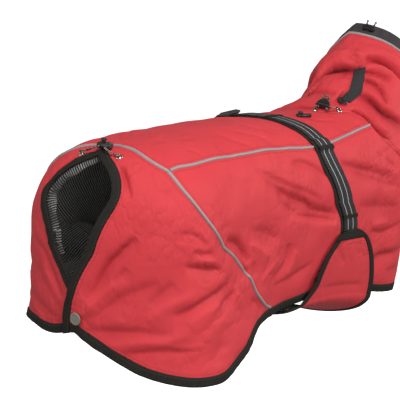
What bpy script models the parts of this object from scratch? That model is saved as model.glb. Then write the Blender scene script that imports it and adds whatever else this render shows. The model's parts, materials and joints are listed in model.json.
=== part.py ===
"""Winter coat for a medium dog: a back panel, two hip panels that lap under the tail, two side
panels, a belly flap that comes up the right side to the belt, and a tall soft collar.

Every cloth piece is cut from one surface. A place on it is given by two numbers:
  along  metres along the coat's outline seen from above, from the middle of the rump (0) to the
         middle of the chest; below 0 it has crossed the rump's middle to the other side
  drop   0 on the spine, 1 at the coat's widest, 2 on its lower edge
Metres, +X to the head, +Y to the wearer's left, +Z up. The origin is on the inner face of the
cloth over the spine, halfway along the back.
"""
import bpy
import bmesh
import numpy as np
from mathutils import Matrix, Vector

# ---- driving sizes ----------------------------------------------------------------------------
CLOTH = 0.0016            # wall of the padded outer cloth with its lining
SEAM_GAP = 0.0003         # between pieces that are sewn together
BINDING_WIDTH = 0.011
BINDING_THICK = 0.0032
PIPING_WIDTH = 0.0042
PIPING_HIGH = 0.0018
BELT_WIDTH = 0.030
BELT_THICK = 0.0014
FAN_RADIUS = 0.120        # nominal radius of the rounded rump and chest, for measuring along
ROUNDNESS = 2.5           # exponent of the section's upper curve, 2 would be an ellipse
LAP_RIGHT, LAP_LEFT = 0.0028, -0.0016   # how far each hip panel stands off where they lap
FLAP_LIFT = 0.0060        # the belly flap's wall outside the side panel's
CORD_RADIUS = 0.0011

RIGHT, LEFT = -1, 1

# ---- colours ----------------------------------------------------------------------------------
RED = (0.62, 0.058, 0.070)
BLACK = (0.018, 0.018, 0.017)
DARK_GREY = (0.070, 0.064, 0.066)
LINING_GREY = (0.230, 0.225, 0.215)
PIPING_GREY = (0.380, 0.340, 0.335)
STEEL = (0.560, 0.560, 0.550)

# ---- sections of the body, from the middle of the rump to the middle of the chest --------------
# axis_x: where the section stands; turn: degrees it is turned from straight sideways; reach: half
# width; top, wide: heights of the spine and of the widest place; hem_right, hem_left: heights of
# the lower edge; hem_reach: half width there
SECTIONS = np.array([
    (-0.200, -90, 0.118, 0.001, -0.110, -0.207, -0.207, 0.114),
    (-0.200, -70, 0.118, 0.001, -0.112, -0.229, -0.216, 0.117),
    (-0.200, -50, 0.123, 0.001, -0.115, -0.249, -0.213, 0.126),
    (-0.200, -30, 0.126, 0.001, -0.118, -0.262, -0.216, 0.134),
    (-0.200, -12, 0.122, 0.001, -0.118, -0.268, -0.227, 0.132),
    (-0.200,   0, 0.119, 0.002, -0.116, -0.266, -0.233, 0.129),
    (-0.150,   0, 0.112, 0.003, -0.112, -0.252, -0.234, 0.120),
    (-0.110,   0, 0.108, 0.003, -0.110, -0.232, -0.228, 0.109),
    (-0.050,   0, 0.104, 0.0028, -0.110, -0.229, -0.224, 0.092),
    ( 0.050,   0, 0.100, -0.0012, -0.110, -0.231, -0.226, 0.085),
    ( 0.130,   0, 0.100, -0.003, -0.112, -0.239, -0.236, 0.085),
    ( 0.200,   0, 0.102, 0.003, -0.115, -0.253, -0.253, 0.087),
    ( 0.235,   0, 0.104, 0.006, -0.118, -0.260, -0.260, 0.089),
    ( 0.235,  30, 0.107, 0.006, -0.120, -0.266, -0.266, 0.092),
    ( 0.235,  60, 0.107, 0.006, -0.122, -0.272, -0.272, 0.092),
    ( 0.235,  90, 0.105, 0.006, -0.124, -0.273, -0.273, 0.090),
])
AXIS_X, TURN, SHAPE = SECTIONS[:, 0], np.radians(SECTIONS[:, 1]), SECTIONS[:, 2:]
KNOTS = np.concatenate([[0.0], np.cumsum(np.abs(np.diff(AXIS_X)) + FAN_RADIUS * np.diff(TURN))])
GIRTH = KNOTS[-1]
REAR_AXIS = AXIS_X[0]

# ---- seams and edges, rows of (along, drop) ---------------------------------------------------
HIP_SEAM_TOP = [(0.0, 0.228), (0.032, 0.230), (0.073, 0.280), (0.110, 0.431), (0.123, 0.487)]
HIP_SEAM_LOW = [(0.123, 0.487), (0.139, 0.670), (0.175, 0.924), (0.214, 1.104), (0.254, 1.388),
                (0.276, 1.642), (0.300, 1.820), (0.332, 1.930)]
BACK_SEAM = [(0.123, 0.487), (0.142, 0.463), (0.190, 0.466), (0.263, 0.497), (0.374, 0.533),
             (0.442, 0.571), (0.487, 0.553), (0.536, 0.514), (0.599, 0.488)]
NECK_SEAM_BACK = [(0.538, 0.0), (0.538, 0.100), (0.553, 0.207), (0.576, 0.274), (0.592, 0.330),
                  (0.598, 0.400), (0.599, 0.488)]
NECK_SEAM_FRONT = [(0.599, 0.488), (0.603, 0.588), (0.618, 0.680), (0.645, 0.800), (0.680, 0.890),
                   (0.745, 0.965), (GIRTH, 0.990)]
TAIL_EDGE_RIGHT = [(0.0, 0.318), (0.012, 0.350), (0.024, 0.398), (0.042, 0.487), (0.051, 0.584),
                   (0.053, 0.677), (0.049, 0.747), (0.039, 0.844), (0.030, 0.939), (0.023, 1.020),
                   (0.009, 1.253), (-0.009, 1.723), (-0.013, 2.0)]
TAIL_EDGE_LEFT = [(0.0, 0.318), (0.014, 0.350), (0.030, 0.400), (0.051, 0.507), (0.063, 0.620),
                  (0.067, 0.697), (0.064, 0.783), (0.056, 0.853), (0.045, 0.930), (0.028, 1.107),
                  (0.012, 1.367), (-0.004, 1.640), (-0.010, 2.0)]
BELT_RIGHT = [(0.432, 0.0), (0.437, 0.110), (0.4435, 0.220), (0.456, 0.390), (0.462, 0.545),
              (0.467, 0.725), (0.480, 0.870), (0.493, 0.995), (0.507, 1.190), (0.510, 1.370)]

# ---- largest creases --------------------------------------------------------------------------
# as they lie on the right side: along and drop of the start, the middle and the end, half width,
# height (a trough is negative)
FOLDS = [
    (0.078, 0.926, 0.049, 1.082, 0.021, 1.536, 0.009, -0.0044),
    (0.204, 1.310, 0.160, 1.352, 0.116, 1.455, 0.009, -0.0046),
    (0.016, 1.877, 0.070, 1.665, 0.116, 1.600, 0.009, -0.0030),
    (0.060, 1.900, 0.098, 1.760, 0.135, 1.735, 0.009, -0.0030),
    (0.130, 1.072, 0.156, 1.110, 0.188, 1.170, 0.009, -0.0034),
    (0.050, 0.440, 0.062, 0.530, 0.072, 0.700, 0.008, -0.0030),
    (0.330, 0.850, 0.395, 0.960, 0.475, 1.125, 0.011, -0.0060),
    (0.376, 0.675, 0.408, 0.690, 0.452, 0.830, 0.009, -0.0030),
    (0.256, 0.987, 0.290, 1.060, 0.331, 1.199, 0.012, -0.0030),
    (0.202, 0.984, 0.230, 1.050, 0.256, 1.270, 0.009, -0.0046),
    (0.258, 1.110, 0.284, 1.230, 0.304, 1.345, 0.009, 0.0030),
    (0.357, 1.280, 0.352, 1.480, 0.319, 1.602, 0.009, -0.0030),
    (0.259, 1.634, 0.276, 1.740, 0.289, 1.866, 0.009, -0.0028),
    (0.494, 0.753, 0.545, 0.835, 0.631, 0.956, 0.010, -0.0052),
    (0.532, 1.090, 0.585, 1.130, 0.640, 1.145, 0.014, -0.0036),
    (0.578, 1.675, 0.610, 1.620, 0.680, 1.590, 0.009, -0.0040),
    (0.690, 1.050, 0.740, 1.200, 0.800, 1.220, 0.010, -0.0030),
]
# the same on the collar: degrees round from the middle of the back towards the right, and the
# share of the way up from the seam
COLLAR_FOLDS = [
    (-24, 0.44, 4, 0.56, 36, 0.56, 0.0100, -0.0075),
    (-24, 0.57, 4, 0.69, 36, 0.69, 0.0120, 0.0034),
    (34, 0.66, 56, 0.67, 84, 0.65, 0.0080, -0.0070),
    (84, 0.65, 105, 0.60, 124, 0.50, 0.0090, -0.0060),
    (45, 0.31, 63, 0.29, 92, 0.32, 0.0080, -0.0070),
    (92, 0.32, 108, 0.30, 126, 0.22, 0.0090, -0.0060),
    (20, 0.76, 60, 0.80, 110, 0.74, 0.0130, 0.0040),
    (-38, 0.30, -62, 0.42, -100, 0.36, 0.0090, -0.0070),
    (-34, 0.58, -70, 0.66, -118, 0.48, 0.0090, -0.0070),
    (-30, 0.76, -70, 0.80, -110, 0.72, 0.0130, 0.0036),
    (134, 0.30, 160, 0.42, 190, 0.36, 0.0100, -0.0050),
    (140, 0.60, 170, 0.56, 205, 0.62, 0.0100, -0.0045),
]

# ---- the coat's surface -----------------------------------------------------------------------


def smooth(knots, rows, at):
    """Values at the places 'at' of a smooth curve that runs through the rows at the knots."""
    rows = np.asarray(rows, float)
    slope = np.empty_like(rows)
    slope[1:-1] = (rows[2:] - rows[:-2]) / (knots[2:] - knots[:-2])[:, None]
    slope[0] = (rows[1] - rows[0]) / (knots[1] - knots[0])
    slope[-1] = (rows[-1] - rows[-2]) / (knots[-1] - knots[-2])
    at = np.clip(at, knots[0], knots[-1])
    k = np.clip(np.searchsorted(knots, at, side="right") - 1, 0, len(knots) - 2)
    h = (knots[k + 1] - knots[k])[..., None]
    t = (at - knots[k])[..., None] / h
    ends = rows[k] * (2 * t**3 - 3 * t**2 + 1) + rows[k + 1] * (3 * t**2 - 2 * t**3)
    return ends + h * (slope[k] * (t**3 - 2 * t**2 + t) + slope[k + 1] * (t**3 - t**2))


def ease(t):
    """0 below 0, 1 above 1, with a soft start and end."""
    t = np.clip(t, 0, 1)
    return t * t * (3 - 2 * t)


def base(along, drop, side):
    """Points of the plain surface. The upper part of a section is a quarter of a superellipse,
    the lower part leans to the hem's half width."""
    along, drop = np.broadcast_arrays(np.asarray(along, float), np.asarray(drop, float))
    side = side * np.where((along < 0) | (along > GIRTH), -1.0, 1.0)
    at = GIRTH - np.abs(GIRTH - np.abs(along))
    axis_x, turn = np.interp(at, KNOTS, AXIS_X), np.interp(at, KNOTS, TURN)
    row = smooth(KNOTS, SHAPE, at)
    reach, top, wide, hem_right, hem_left, hem_reach = [row[..., i] for i in range(6)]
    hem = np.where(side < 0, hem_right, hem_left)
    arc = np.clip(drop, 0, 1) * np.pi / 2
    low = np.clip(drop - 1, 0, None)
    out = reach * np.sin(arc) ** (2 / ROUNDNESS) + (hem_reach - reach) * low**2
    z = wide + (top - wide) * np.cos(arc) ** (2 / ROUNDNESS) + (hem - wide) * low
    return np.stack([axis_x + out * np.sin(turn), side * out * np.cos(turn), z], -1)


def steps(along, drop, side, small=0.002):
    """How the surface runs along and down: its two derivatives."""
    drop = np.clip(drop, 0.012, None)
    d_along = base(along + small, drop, side) - base(along - small, drop, side)
    d_drop = base(along, drop + 0.01, side) - base(along, drop - 0.01, side)
    return d_along / (2 * small), d_drop / 0.02


def unit(v):
    return v / np.maximum(np.linalg.norm(v, axis=-1, keepdims=True), 1e-12)


def normal(along, drop, side):
    """Outward normals of the plain surface."""
    along, drop = np.broadcast_arrays(np.asarray(along, float), np.asarray(drop, float))
    d_along, d_drop = steps(along, drop, side)
    side = np.asarray(side, float)[..., None] if np.ndim(side) else side
    n = side * np.cross(d_along, d_drop)
    flat = np.linalg.norm(d_along, axis=-1, keepdims=True) < 0.02
    return unit(np.where(flat, np.array([0.0, 0.0, 1.0]), unit(n)))


def fold_lines():
    """Each crease as a curve of places in space, with its half width and height. The left side has
    the right side's creases a little moved and softer, most of all round the rump."""
    lines = []
    for side in (RIGHT, LEFT):
        for index, (a0, d0, a1, d1, a2, d2, half_width, height) in enumerate(FOLDS):
            rows = smooth(np.array([0, 0.5, 1.0]), [(a0, d0), (a1, d1), (a2, d2)],
                          np.linspace(0, 1, 9))
            if side == LEFT:
                rows = rows + (0.007 * np.sin(7.0 * index), 0.05 * np.cos(5.0 * index))
                height = height * (0.85 if a1 > 0.1 else 0.45)
            lines.append((base(rows[:, 0], rows[:, 1], side), half_width, height))
    return lines


def bell(here, curve, half_width, height):
    """One crease: a bell across its curve that fades out to both ends."""
    nearest, share = np.full(here.shape[:-1], 9.0), np.zeros(here.shape[:-1])
    for k, (start, end) in enumerate(zip(curve[:-1], curve[1:])):
        run = end - start
        t = np.clip((here - start) @ run / (run @ run), 0, 1)
        away = np.linalg.norm(here - start - t[..., None] * run, axis=-1)
        share = np.where(away < nearest, (k + t) / (len(curve) - 1), share)
        nearest = np.minimum(away, nearest)
    fade = (4 * share * (1 - share)) ** 0.5 * 0.9 + 0.1
    return height * fade * np.exp(-(nearest / half_width) ** 2)


FOLD_LINES = fold_lines()


def coat(along, drop, side, lift=0.0):
    """Points of the worn surface, with folds and the lap under the tail, and its normals."""
    points, n = base(along, drop, side), normal(along, drop, side)
    lap = np.where(np.asarray(side) < 0, LAP_RIGHT, LAP_LEFT)
    lap = lap * ease((0.046 - along) / 0.024) * ease((np.asarray(drop) - 1.12) / 0.25)
    out = sum(bell(points, *line) for line in FOLD_LINES) + lap + lift
    return points + n * out[..., None], n


def line_through(rows, count, side):
    """A smooth line through the rows on the surface, as 'count' even stretches."""
    rows = np.asarray(rows, float)
    knots = np.concatenate([[0], np.cumsum(np.hypot(*(np.diff(rows, axis=0) * (1, 0.1)).T))])
    fine = smooth(knots, rows, np.linspace(0, knots[-1], 400))
    run = np.linalg.norm(np.diff(base(fine[:, 0], fine[:, 1], side), axis=0), axis=1)
    run = np.concatenate([[0], np.cumsum(run)])
    even = np.linspace(0, run[-1], count + 1)
    return np.stack([np.interp(even, run, fine[:, 0]), np.interp(even, run, fine[:, 1])], -1)


def shifted(line, side, distance):
    """The line moved sideways on the surface: towards the front of a line that runs down, or
    upwards from a line that runs to the front."""
    d_along, d_drop = steps(line[:, 0], line[:, 1], side)
    points = base(line[:, 0], line[:, 1], side)
    n = normal(line[:, 0], line[:, 1], side)
    way = unit(np.cross(unit(np.gradient(points, axis=0)), n)) * side
    g11, g12, g22 = [(a * b).sum(-1) for a, b in ((d_along,) * 2, (d_along, d_drop), (d_drop,) * 2)]
    r1, r2 = (d_along * way).sum(-1), (d_drop * way).sum(-1)
    det = g11 * g22 - g12**2
    move = np.stack([(g22 * r1 - g12 * r2) / det, (g11 * r2 - g12 * r1) / det], -1)
    return line + distance * move


# ---- making solids ----------------------------------------------------------------------------


def clear_scene():
    for thing in list(bpy.data.objects):
        bpy.data.objects.remove(thing)


def material(name, colour, roughness, metallic=0.0):
    made = bpy.data.materials.get(name)
    if made is None:
        made = bpy.data.materials.new(name)
        made.use_nodes = True
        shader = made.node_tree.nodes["Principled BSDF"]
        shader.inputs["Base Color"].default_value = (*colour, 1.0)
        shader.inputs["Roughness"].default_value = roughness
        shader.inputs["Metallic"].default_value = metallic
    return made


def shell_cloth():
    return material("red_shell_cloth", RED, 0.55)


def binding_tape():
    return material("black_binding_tape", BLACK, 0.85)


def webbing():
    return material("black_webbing", BLACK, 0.75)


def hard_plastic():
    return material("black_plastic", BLACK, 0.35)


def bright_metal():
    return material("nickel", STEEL, 0.3, 1.0)


def solid(name, points, faces, made_of):
    """One closed body as an object, faces turned outwards."""
    mesh = bpy.data.meshes.new(name)
    mesh.from_pydata([tuple(map(float, p)) for p in points], [], [tuple(map(int, f)) for f in faces])
    work = bmesh.new()
    work.from_mesh(mesh)
    bmesh.ops.triangulate(work, faces=work.faces[:])
    bmesh.ops.recalc_face_normals(work, faces=work.faces[:])
    work.to_mesh(mesh)
    work.free()
    mesh.materials.append(made_of)
    thing = bpy.data.objects.new(name, mesh)
    bpy.context.scene.collection.objects.link(thing)
    return thing


def wall(name, points, n, made_of, thick=CLOTH, closed=False):
    """A wall on a grid of points, half its thickness to each side. A closed grid joins its last
    row to its first."""
    rows, cols = points.shape[:2]
    half = thick / 2
    verts = np.concatenate([(points + n * half).reshape(-1, 3), (points - n * half).reshape(-1, 3)])
    total = rows * cols
    corner = np.arange(total).reshape(rows, cols)
    ring = np.vstack([corner, corner[:1]]) if closed else corner
    quads = np.stack([ring[:-1, :-1], ring[1:, :-1], ring[1:, 1:], ring[:-1, 1:]], -1).reshape(-1, 4)
    faces = [tuple(q) for q in quads] + [tuple(q[::-1] + total) for q in quads]
    edges = [ring[:, 0], ring[:, -1]] + ([] if closed else [corner[0], corner[-1]])
    faces += [(a, b, b + total, a + total) for e in edges for a, b in zip(e[:-1], e[1:])]
    return solid(name, verts, faces, made_of)


def sweep(name, points, across, n, profile, made_of, closed=False):
    """A profile of (sideways, outwards) carried along the points."""
    profile = np.asarray(profile, float)
    verts = points[:, None] + across[:, None] * profile[:, :1] + n[:, None] * profile[:, 1:]
    count, sides = verts.shape[:2]
    corner = np.arange(count * sides).reshape(count, sides)
    ring = np.vstack([corner, corner[:1]]) if closed else corner
    faces = []
    for k in range(sides):
        j = (k + 1) % sides
        faces += list(zip(ring[:-1, k], ring[1:, k], ring[1:, j], ring[:-1, j]))
    if not closed:
        faces += [tuple(corner[0]), tuple(corner[-1][::-1])]
    return solid(name, verts.reshape(-1, 3), faces, made_of)


def band(name, first, second, side, thick, made_of, lift=0.0):
    """A flat strip between two lines on the surface that have as many places each."""
    both = [coat(line[:, 0], line[:, 1], side, lift) for line in (first, second)]
    points = np.stack([both[0][0], both[1][0]], 1)
    n = np.stack([both[0][1], both[1][1]], 1)
    return wall(name, points, n, made_of, thick)


def piping(name, line, side):
    """A half-round cord in its tape, on the seam line."""
    points, n = coat(line[:, 0], line[:, 1], side, CLOTH / 2 + SEAM_GAP + 0.0003)
    across = unit(np.cross(unit(np.gradient(points, axis=0)), n))
    w = PIPING_WIDTH / 2
    profile = [(-w, 0), (-0.6 * w, PIPING_HIGH), (0.6 * w, PIPING_HIGH), (w, 0)]
    grey = material("reflective_piping", PIPING_GREY, 0.4)
    return sweep(name, points, across, n, profile, grey)


# ---- lines that neighbouring pieces share ------------------------------------------------------
HIP_TOP_STEPS, HIP_LOW_STEPS = 6, 13
BACK_STEPS, ACROSS_STEPS, FRONT_STEPS = 17, 2 * HIP_TOP_STEPS, 10
HIP_COLUMNS = 14
HALF_GAP = SEAM_GAP / 2
HEM_GAP = 0.004           # between a panel and the hem's binding, as a share of drop


def inner_drop(side, along):
    """Drop of the upper edge of the lower edge's binding."""
    spread = np.linspace(-0.03, GIRTH + 0.002, 500)
    line = shifted(np.stack([spread, np.full_like(spread, 2.0)], -1), side, BINDING_WIDTH)
    line = line[np.argsort(line[:, 0])]
    return np.interp(along, line[:, 0], line[:, 1])


def cut_at_hem(line, side):
    """The part of a downward line that ends on the binding's upper edge."""
    over = line[:, 1] - inner_drop(side, line[:, 0])
    last = int(np.argmax(over > 0)) if (over > 0).any() else len(line) - 1
    share = over[last - 1] / (over[last - 1] - over[last]) if over[last] > 0 else 1.0
    end = line[last - 1] + (line[last] - line[last - 1]) * share
    return np.vstack([line[:last], end])


def respaced(line, count, side):
    run = np.linalg.norm(np.diff(base(line[:, 0], line[:, 1], side), axis=0), axis=1)
    run = np.concatenate([[0], np.cumsum(run)])
    even = np.linspace(0, run[-1], count + 1)
    return np.stack([np.interp(even, run, line[:, 0]), np.interp(even, run, line[:, 1])], -1)


def hip_seam(side):
    top = line_through(HIP_SEAM_TOP, HIP_TOP_STEPS, side)
    low = line_through(HIP_SEAM_LOW, 200, side)
    low = respaced(cut_at_hem(low, side), HIP_LOW_STEPS, side)
    return np.vstack([top, low[1:]])


def tail_edges(side):
    """Outer and inner edge of the tail opening's binding, down to the hem; the inner edge has
    the hip panel's own places, and one more at the hem."""
    middle = line_through(TAIL_EDGE_RIGHT if side < 0 else TAIL_EDGE_LEFT, 240, side)
    whole = shifted(middle, side, BINDING_WIDTH / 2)
    inner = respaced(cut_at_hem(whole, side), HIP_TOP_STEPS + HIP_LOW_STEPS, side)
    inner = np.vstack([inner, whole[-1]])
    inner[-1, 1] = 2.0
    outer = shifted(inner, side, -BINDING_WIDTH)
    outer[-1, 1] = 2.0
    for line in (outer, inner):
        line[:, 0] = np.where(line[:, 1] < 0.5, np.maximum(line[:, 0], 0.0006), line[:, 0])
    inner[0, 0] = outer[0, 0] = 0.0006
    return outer, inner


# ---- cloth panels -----------------------------------------------------------------------------


def hip_lines(side):
    """The four edges of a hip panel: by the tail, by the slanted seam, and the hem between."""
    seam = hip_seam(side)
    rear = shifted(tail_edges(side)[1][:-1], side, SEAM_GAP)
    rear[0, 0] = 0.0008
    front = shifted(seam, side, -HALF_GAP)
    front[0] = (0.0008, seam[0, 1] + 0.004)
    along = np.linspace(rear[-1, 0], front[-1, 0], HIP_COLUMNS + 1)
    hem = np.stack([along, inner_drop(side, along) - HEM_GAP], -1)
    hem[0, 1] -= 3 * HEM_GAP          # the hem rises to a low peak under the tail
    front[-1] = hem[-1]
    rear[-1] = hem[0]
    return rear, front, hem


def hip_panel(side, word):
    rear, front, hem = hip_lines(side)
    u = np.linspace(0, 1, HIP_COLUMNS + 1)[None, :, None]
    v = np.linspace(0, 1, len(rear))[:, None, None]
    grid = rear[:, None] * (1 - u) + front[:, None] * u
    grid = grid + v**4 * (hem[None] - grid[-1:])
    points, n = coat(grid[..., 0], grid[..., 1], side)
    wall(f"hip_panel_{word}", points, n, shell_cloth())
    return hem


def side_lines(side):
    seam = hip_seam(side)[HIP_TOP_STEPS:]
    rear = shifted(seam, side, HALF_GAP)
    back = shifted(line_through(BACK_SEAM, BACK_STEPS, side), side, -HALF_GAP)
    neck = line_through(NECK_SEAM_FRONT, FRONT_STEPS, side)
    neck = shifted(neck, side, -2 * SEAM_GAP)
    neck[0] = back[-1] - (0.0004, 0)
    neck[-1, 0] = GIRTH - 0.0002
    top = np.vstack([back[:-1], neck])
    top[0] = rear[0]
    along = np.linspace(rear[-1, 0], GIRTH - 0.0002, len(top))
    hem = np.stack([along, inner_drop(side, along) - HEM_GAP], -1)
    rear[-1] = hem[0]
    return rear, top, hem


def side_panel(side, word):
    rear, top, hem = side_lines(side)
    rows = len(rear)
    u = np.linspace(0, 1, len(top))[:, None, None]
    v = np.linspace(0, 1, rows)[None, :, None]
    grid = top[:, None] * (1 - v) + hem[:, None] * v
    grid = grid + (1 - u) ** 4 * (rear[None] - grid[:1])
    points, n = coat(grid[..., 0], grid[..., 1], side)
    wall(f"side_panel_{word}", points, n, shell_cloth())
    return hem


def located(x, y):
    """(along, drop, side) of a place on the upper half, from its position seen from above."""
    side = np.where(y > 0, LEFT, RIGHT)
    rear = x < REAR_AXIS
    turn = np.where(rear, -np.arctan2(REAR_AXIS - x, np.abs(y)), 0.0)
    fan_end = np.searchsorted(TURN, 0.0)
    along = np.where(rear, np.interp(turn, TURN[:fan_end + 1], KNOTS[:fan_end + 1]),
                     np.interp(x, AXIS_X[fan_end:-3], KNOTS[fan_end:-3]))
    out = np.where(rear, np.hypot(x - REAR_AXIS, y), np.abs(y))
    reach = smooth(KNOTS, SHAPE, along)[..., 0]
    drop = np.arcsin(np.clip(out / reach, 0, 1) ** (ROUNDNESS / 2)) * 2 / np.pi
    return along, drop, side


def back_panel():
    """Between the two back seams, from the hip seams above the tail to the neck."""
    edges = {}
    for side in (RIGHT, LEFT):
        edges[side] = shifted(line_through(BACK_SEAM, BACK_STEPS, side), side, HALF_GAP)
    half = ACROSS_STEPS // 2
    neck = line_through(NECK_SEAM_BACK, half, RIGHT)
    neck = shifted(neck, RIGHT, -2 * SEAM_GAP)[::-1]
    neck[-1] = (NECK_SEAM_BACK[0][0] - 2 * SEAM_GAP, 0.0)
    neck[0] = edges[RIGHT][-1] - (0.0004, 0)
    rear = shifted(hip_seam(RIGHT)[:half + 1], RIGHT, HALF_GAP)[::-1]
    rear[-1, 0] = 0.0
    for side in (RIGHT, LEFT):
        edges[side][0] = rear[0]
        edges[side][-1] = neck[0]
    right_end, left_end = [base(e[:, 0], e[:, 1], s) for s, e in edges.items()]
    rear, front = [np.vstack([p, p[-2::-1] * (1, -1, 1)]) for p in
                   [base(line[:, 0], line[:, 1], RIGHT) for line in (rear, neck)]]
    share = ((front[:, 1] - front[0, 1]) / (front[-1, 1] - front[0, 1]))[None, :, None]
    plan = right_end[:, None] * (1 - share) + left_end[:, None] * share
    forward = np.linspace(0, 1, len(plan))[:, None, None]
    plan += forward**4 * (front - plan[-1:]) + np.clip(1 - 3 * forward, 0, 1) * (rear - plan[:1])
    along, drop, side = located(plan[..., 0], plan[..., 1])
    for column, s in ((0, RIGHT), (-1, LEFT)):
        along[:, column], drop[:, column] = edges[s].T
        side[:, column] = s
    points, n = coat(along, drop, side)
    wall("back_panel", points, n, shell_cloth())


# ---- bindings, pipings and facings ------------------------------------------------------------


def tail_binding(side, word):
    outer, inner = tail_edges(side)
    band(f"tail_binding_{word}", outer, inner, side, BINDING_THICK, binding_tape())
    return inner[-3:, 0].max()


def hem_binding(side, word, start, hip_hem, side_hem):
    """From the lap under the tail to the middle of the chest, as wide as the tape."""
    along = np.concatenate([[start + 2 * SEAM_GAP], hip_hem[1:, 0], side_hem[1:, 0]])
    upper = np.stack([along, inner_drop(side, along)], -1)
    lower = np.stack([along, np.full_like(along, 2.0)], -1)
    band(f"hem_binding_{word}", upper, lower, side, BINDING_THICK, binding_tape())


def pipings(side, word):
    seam = hip_seam(side)
    seam[0] = (0.008, HIP_SEAM_TOP[0][1])
    seam[-1] = seam[-2] + (seam[-1] - seam[-2]) * 0.7
    piping(f"hip_piping_{word}", seam, side)
    back = line_through(BACK_SEAM, 120, side)[7:-1]
    piping(f"back_piping_{word}", respaced(back, BACK_STEPS + 3, side), side)


def tail_facing(side, word):
    """Ribbed lining strip of the tail opening. On the left it rolls out past the binding and
    shows, on the right it lies flat behind the hip panel."""
    outer, inner = tail_edges(side)
    line = outer if side == LEFT else inner
    line = respaced(line[(line[:, 1] > 0.36) & (line[:, 1] < 1.10)], 14, side)
    behind = -(BINDING_THICK / 2 + SEAM_GAP + 0.0012)
    near, far = (0.0020, -0.0085) if side == LEFT else (-0.0010, 0.0150)
    ends = [coat(*shifted(line, side, move).T, side, lift) for move, lift in
            ((near, behind), ((near + far) / 2, 1.4 * behind), (far, 2.4 * behind))]
    points, n = [np.stack(v, 1) for v in zip(*ends)]
    wall(f"tail_facing_{word}", points, n, material("ribbed_lining", LINING_GREY, 0.9), 0.0012)


# ---- belly flap -------------------------------------------------------------------------------
# share of the way round from the top edge on the right side (0) to the left hem (1), and the
# places of the flap's rear and front edges there, in metres along
FLAP_EDGES = np.array([
    (0.000, 0.496, 0.522),
    (0.022, 0.478, 0.538),
    (0.060, 0.466, 0.554),
    (0.125, 0.447, 0.567),
    (0.200, 0.435, 0.576),
    (0.270, 0.426, 0.581),
    (0.340, 0.413, 0.582),
    (0.450, 0.405, 0.571),
    (0.600, 0.401, 0.562),
    (1.000, 0.405, 0.560),
])
FLAP_TOP_DROP = 1.300
FLAP_HEM_SHARE = 0.34     # where the flap passes the right hem
FLAP_SAG = ((0.400, 0.015), (0.570, 0.037))      # along, and how far it hangs below the hems there
FLAP_UNDER = 0.0024       # how far below the left lower edge it is sewn on
FLAP_START, FLAP_END = 0.052, 0.985       # shares between which the red cloth runs
FLAP_TOP_BINDING = 0.050                  # share up to which the top's binding runs
FLAP_ROWS, FLAP_COLUMNS = 22, 8
FLAP_ROW_SPACING = 1.3    # above 1 the rows stand closer at the rounded top


def flap_points(share, along):
    """Down the right side outside the side panel, then round under the belly to the left hem."""
    on_side = share < FLAP_HEM_SHARE
    drop = FLAP_TOP_DROP + (2.0 - FLAP_TOP_DROP) * np.clip(share / FLAP_HEM_SHARE, 0, 1)
    side_points = coat(along, drop, RIGHT, FLAP_LIFT)[0]
    under = np.clip((share - FLAP_HEM_SHARE) / (1 - FLAP_HEM_SHARE), 0, 1)
    start = coat(along, np.full_like(along, 2.0), RIGHT, FLAP_LIFT)[0]
    end = coat(along, np.full_like(along, 2.0), LEFT)[0] - np.array([0, 0, FLAP_UNDER])
    turn = under * np.pi
    middle, reach = (start + end) / 2, (start[..., 1] - end[..., 1]) / 2
    sag = np.interp(along, *np.transpose(FLAP_SAG)) * np.sin(turn) ** 0.8
    low = np.stack([middle[..., 0], middle[..., 1] + reach * np.cos(turn),
                    start[..., 2] + (end[..., 2] - start[..., 2]) * under - sag], -1)
    return np.where(on_side[..., None], side_points, low)


def flap_surface(share, width):
    """Points and outward normals at shares of the length and of the width."""
    edges = smooth(FLAP_EDGES[:, 0], FLAP_EDGES[:, 1:], share)
    along = edges[..., 0] + (edges[..., 1] - edges[..., 0]) * width
    here = flap_points(share, along)
    step = 0.004
    d_share = flap_points(np.clip(share + step, 0, 1), along) - flap_points(
        np.clip(share - step, 0, 1), along)
    d_along = flap_points(share, along + step) - flap_points(share, along - step)
    n = unit(np.cross(d_along, d_share))
    axis = np.stack([here[..., 0], 0 * here[..., 0], 0 * here[..., 0] - 0.12], -1)
    return here, n * np.sign((n * (here - axis)).sum(-1, keepdims=True))


def belly_flap():
    """The red cloth inside its binding on the rear, top and front edges."""
    share = np.linspace(0, 1, FLAP_ROWS + 1)[:, None] ** FLAP_ROW_SPACING
    share = FLAP_START + (FLAP_END - FLAP_START) * share
    edges = smooth(FLAP_EDGES[:, 0], FLAP_EDGES[:, 1:], share[:, 0])
    trim = (BINDING_WIDTH + SEAM_GAP) / (edges[:, 1] - edges[:, 0])
    width = trim[:, None] + (1 - 2 * trim)[:, None] * np.linspace(0, 1, FLAP_COLUMNS + 1)[None]
    points, n = flap_surface(np.broadcast_to(share, width.shape), width)
    wall("belly_flap", points, n, shell_cloth())
    for word, edge in (("rear", 0), ("front", 1)):
        near = np.full(len(trim), float(edge))
        far = near + (1 - 2 * edge) * (trim - SEAM_GAP * trim / BINDING_WIDTH)
        strips = [flap_surface(share[:, 0], w) for w in (near, far)]
        points = np.stack([s[0] for s in strips], 1)
        n = np.stack([s[1] for s in strips], 1)
        wall(f"flap_binding_{word}", points, n, binding_tape(), BINDING_THICK)
    width = np.linspace(0, 1, FLAP_COLUMNS + 1)
    strips = [flap_surface(np.full_like(width, s), width) for s in (0.0, FLAP_TOP_BINDING)]
    points = np.stack([s[0] for s in strips], 1)
    n = np.stack([s[1] for s in strips], 1)
    wall("flap_binding_top", points, n, binding_tape(), BINDING_THICK)


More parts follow.
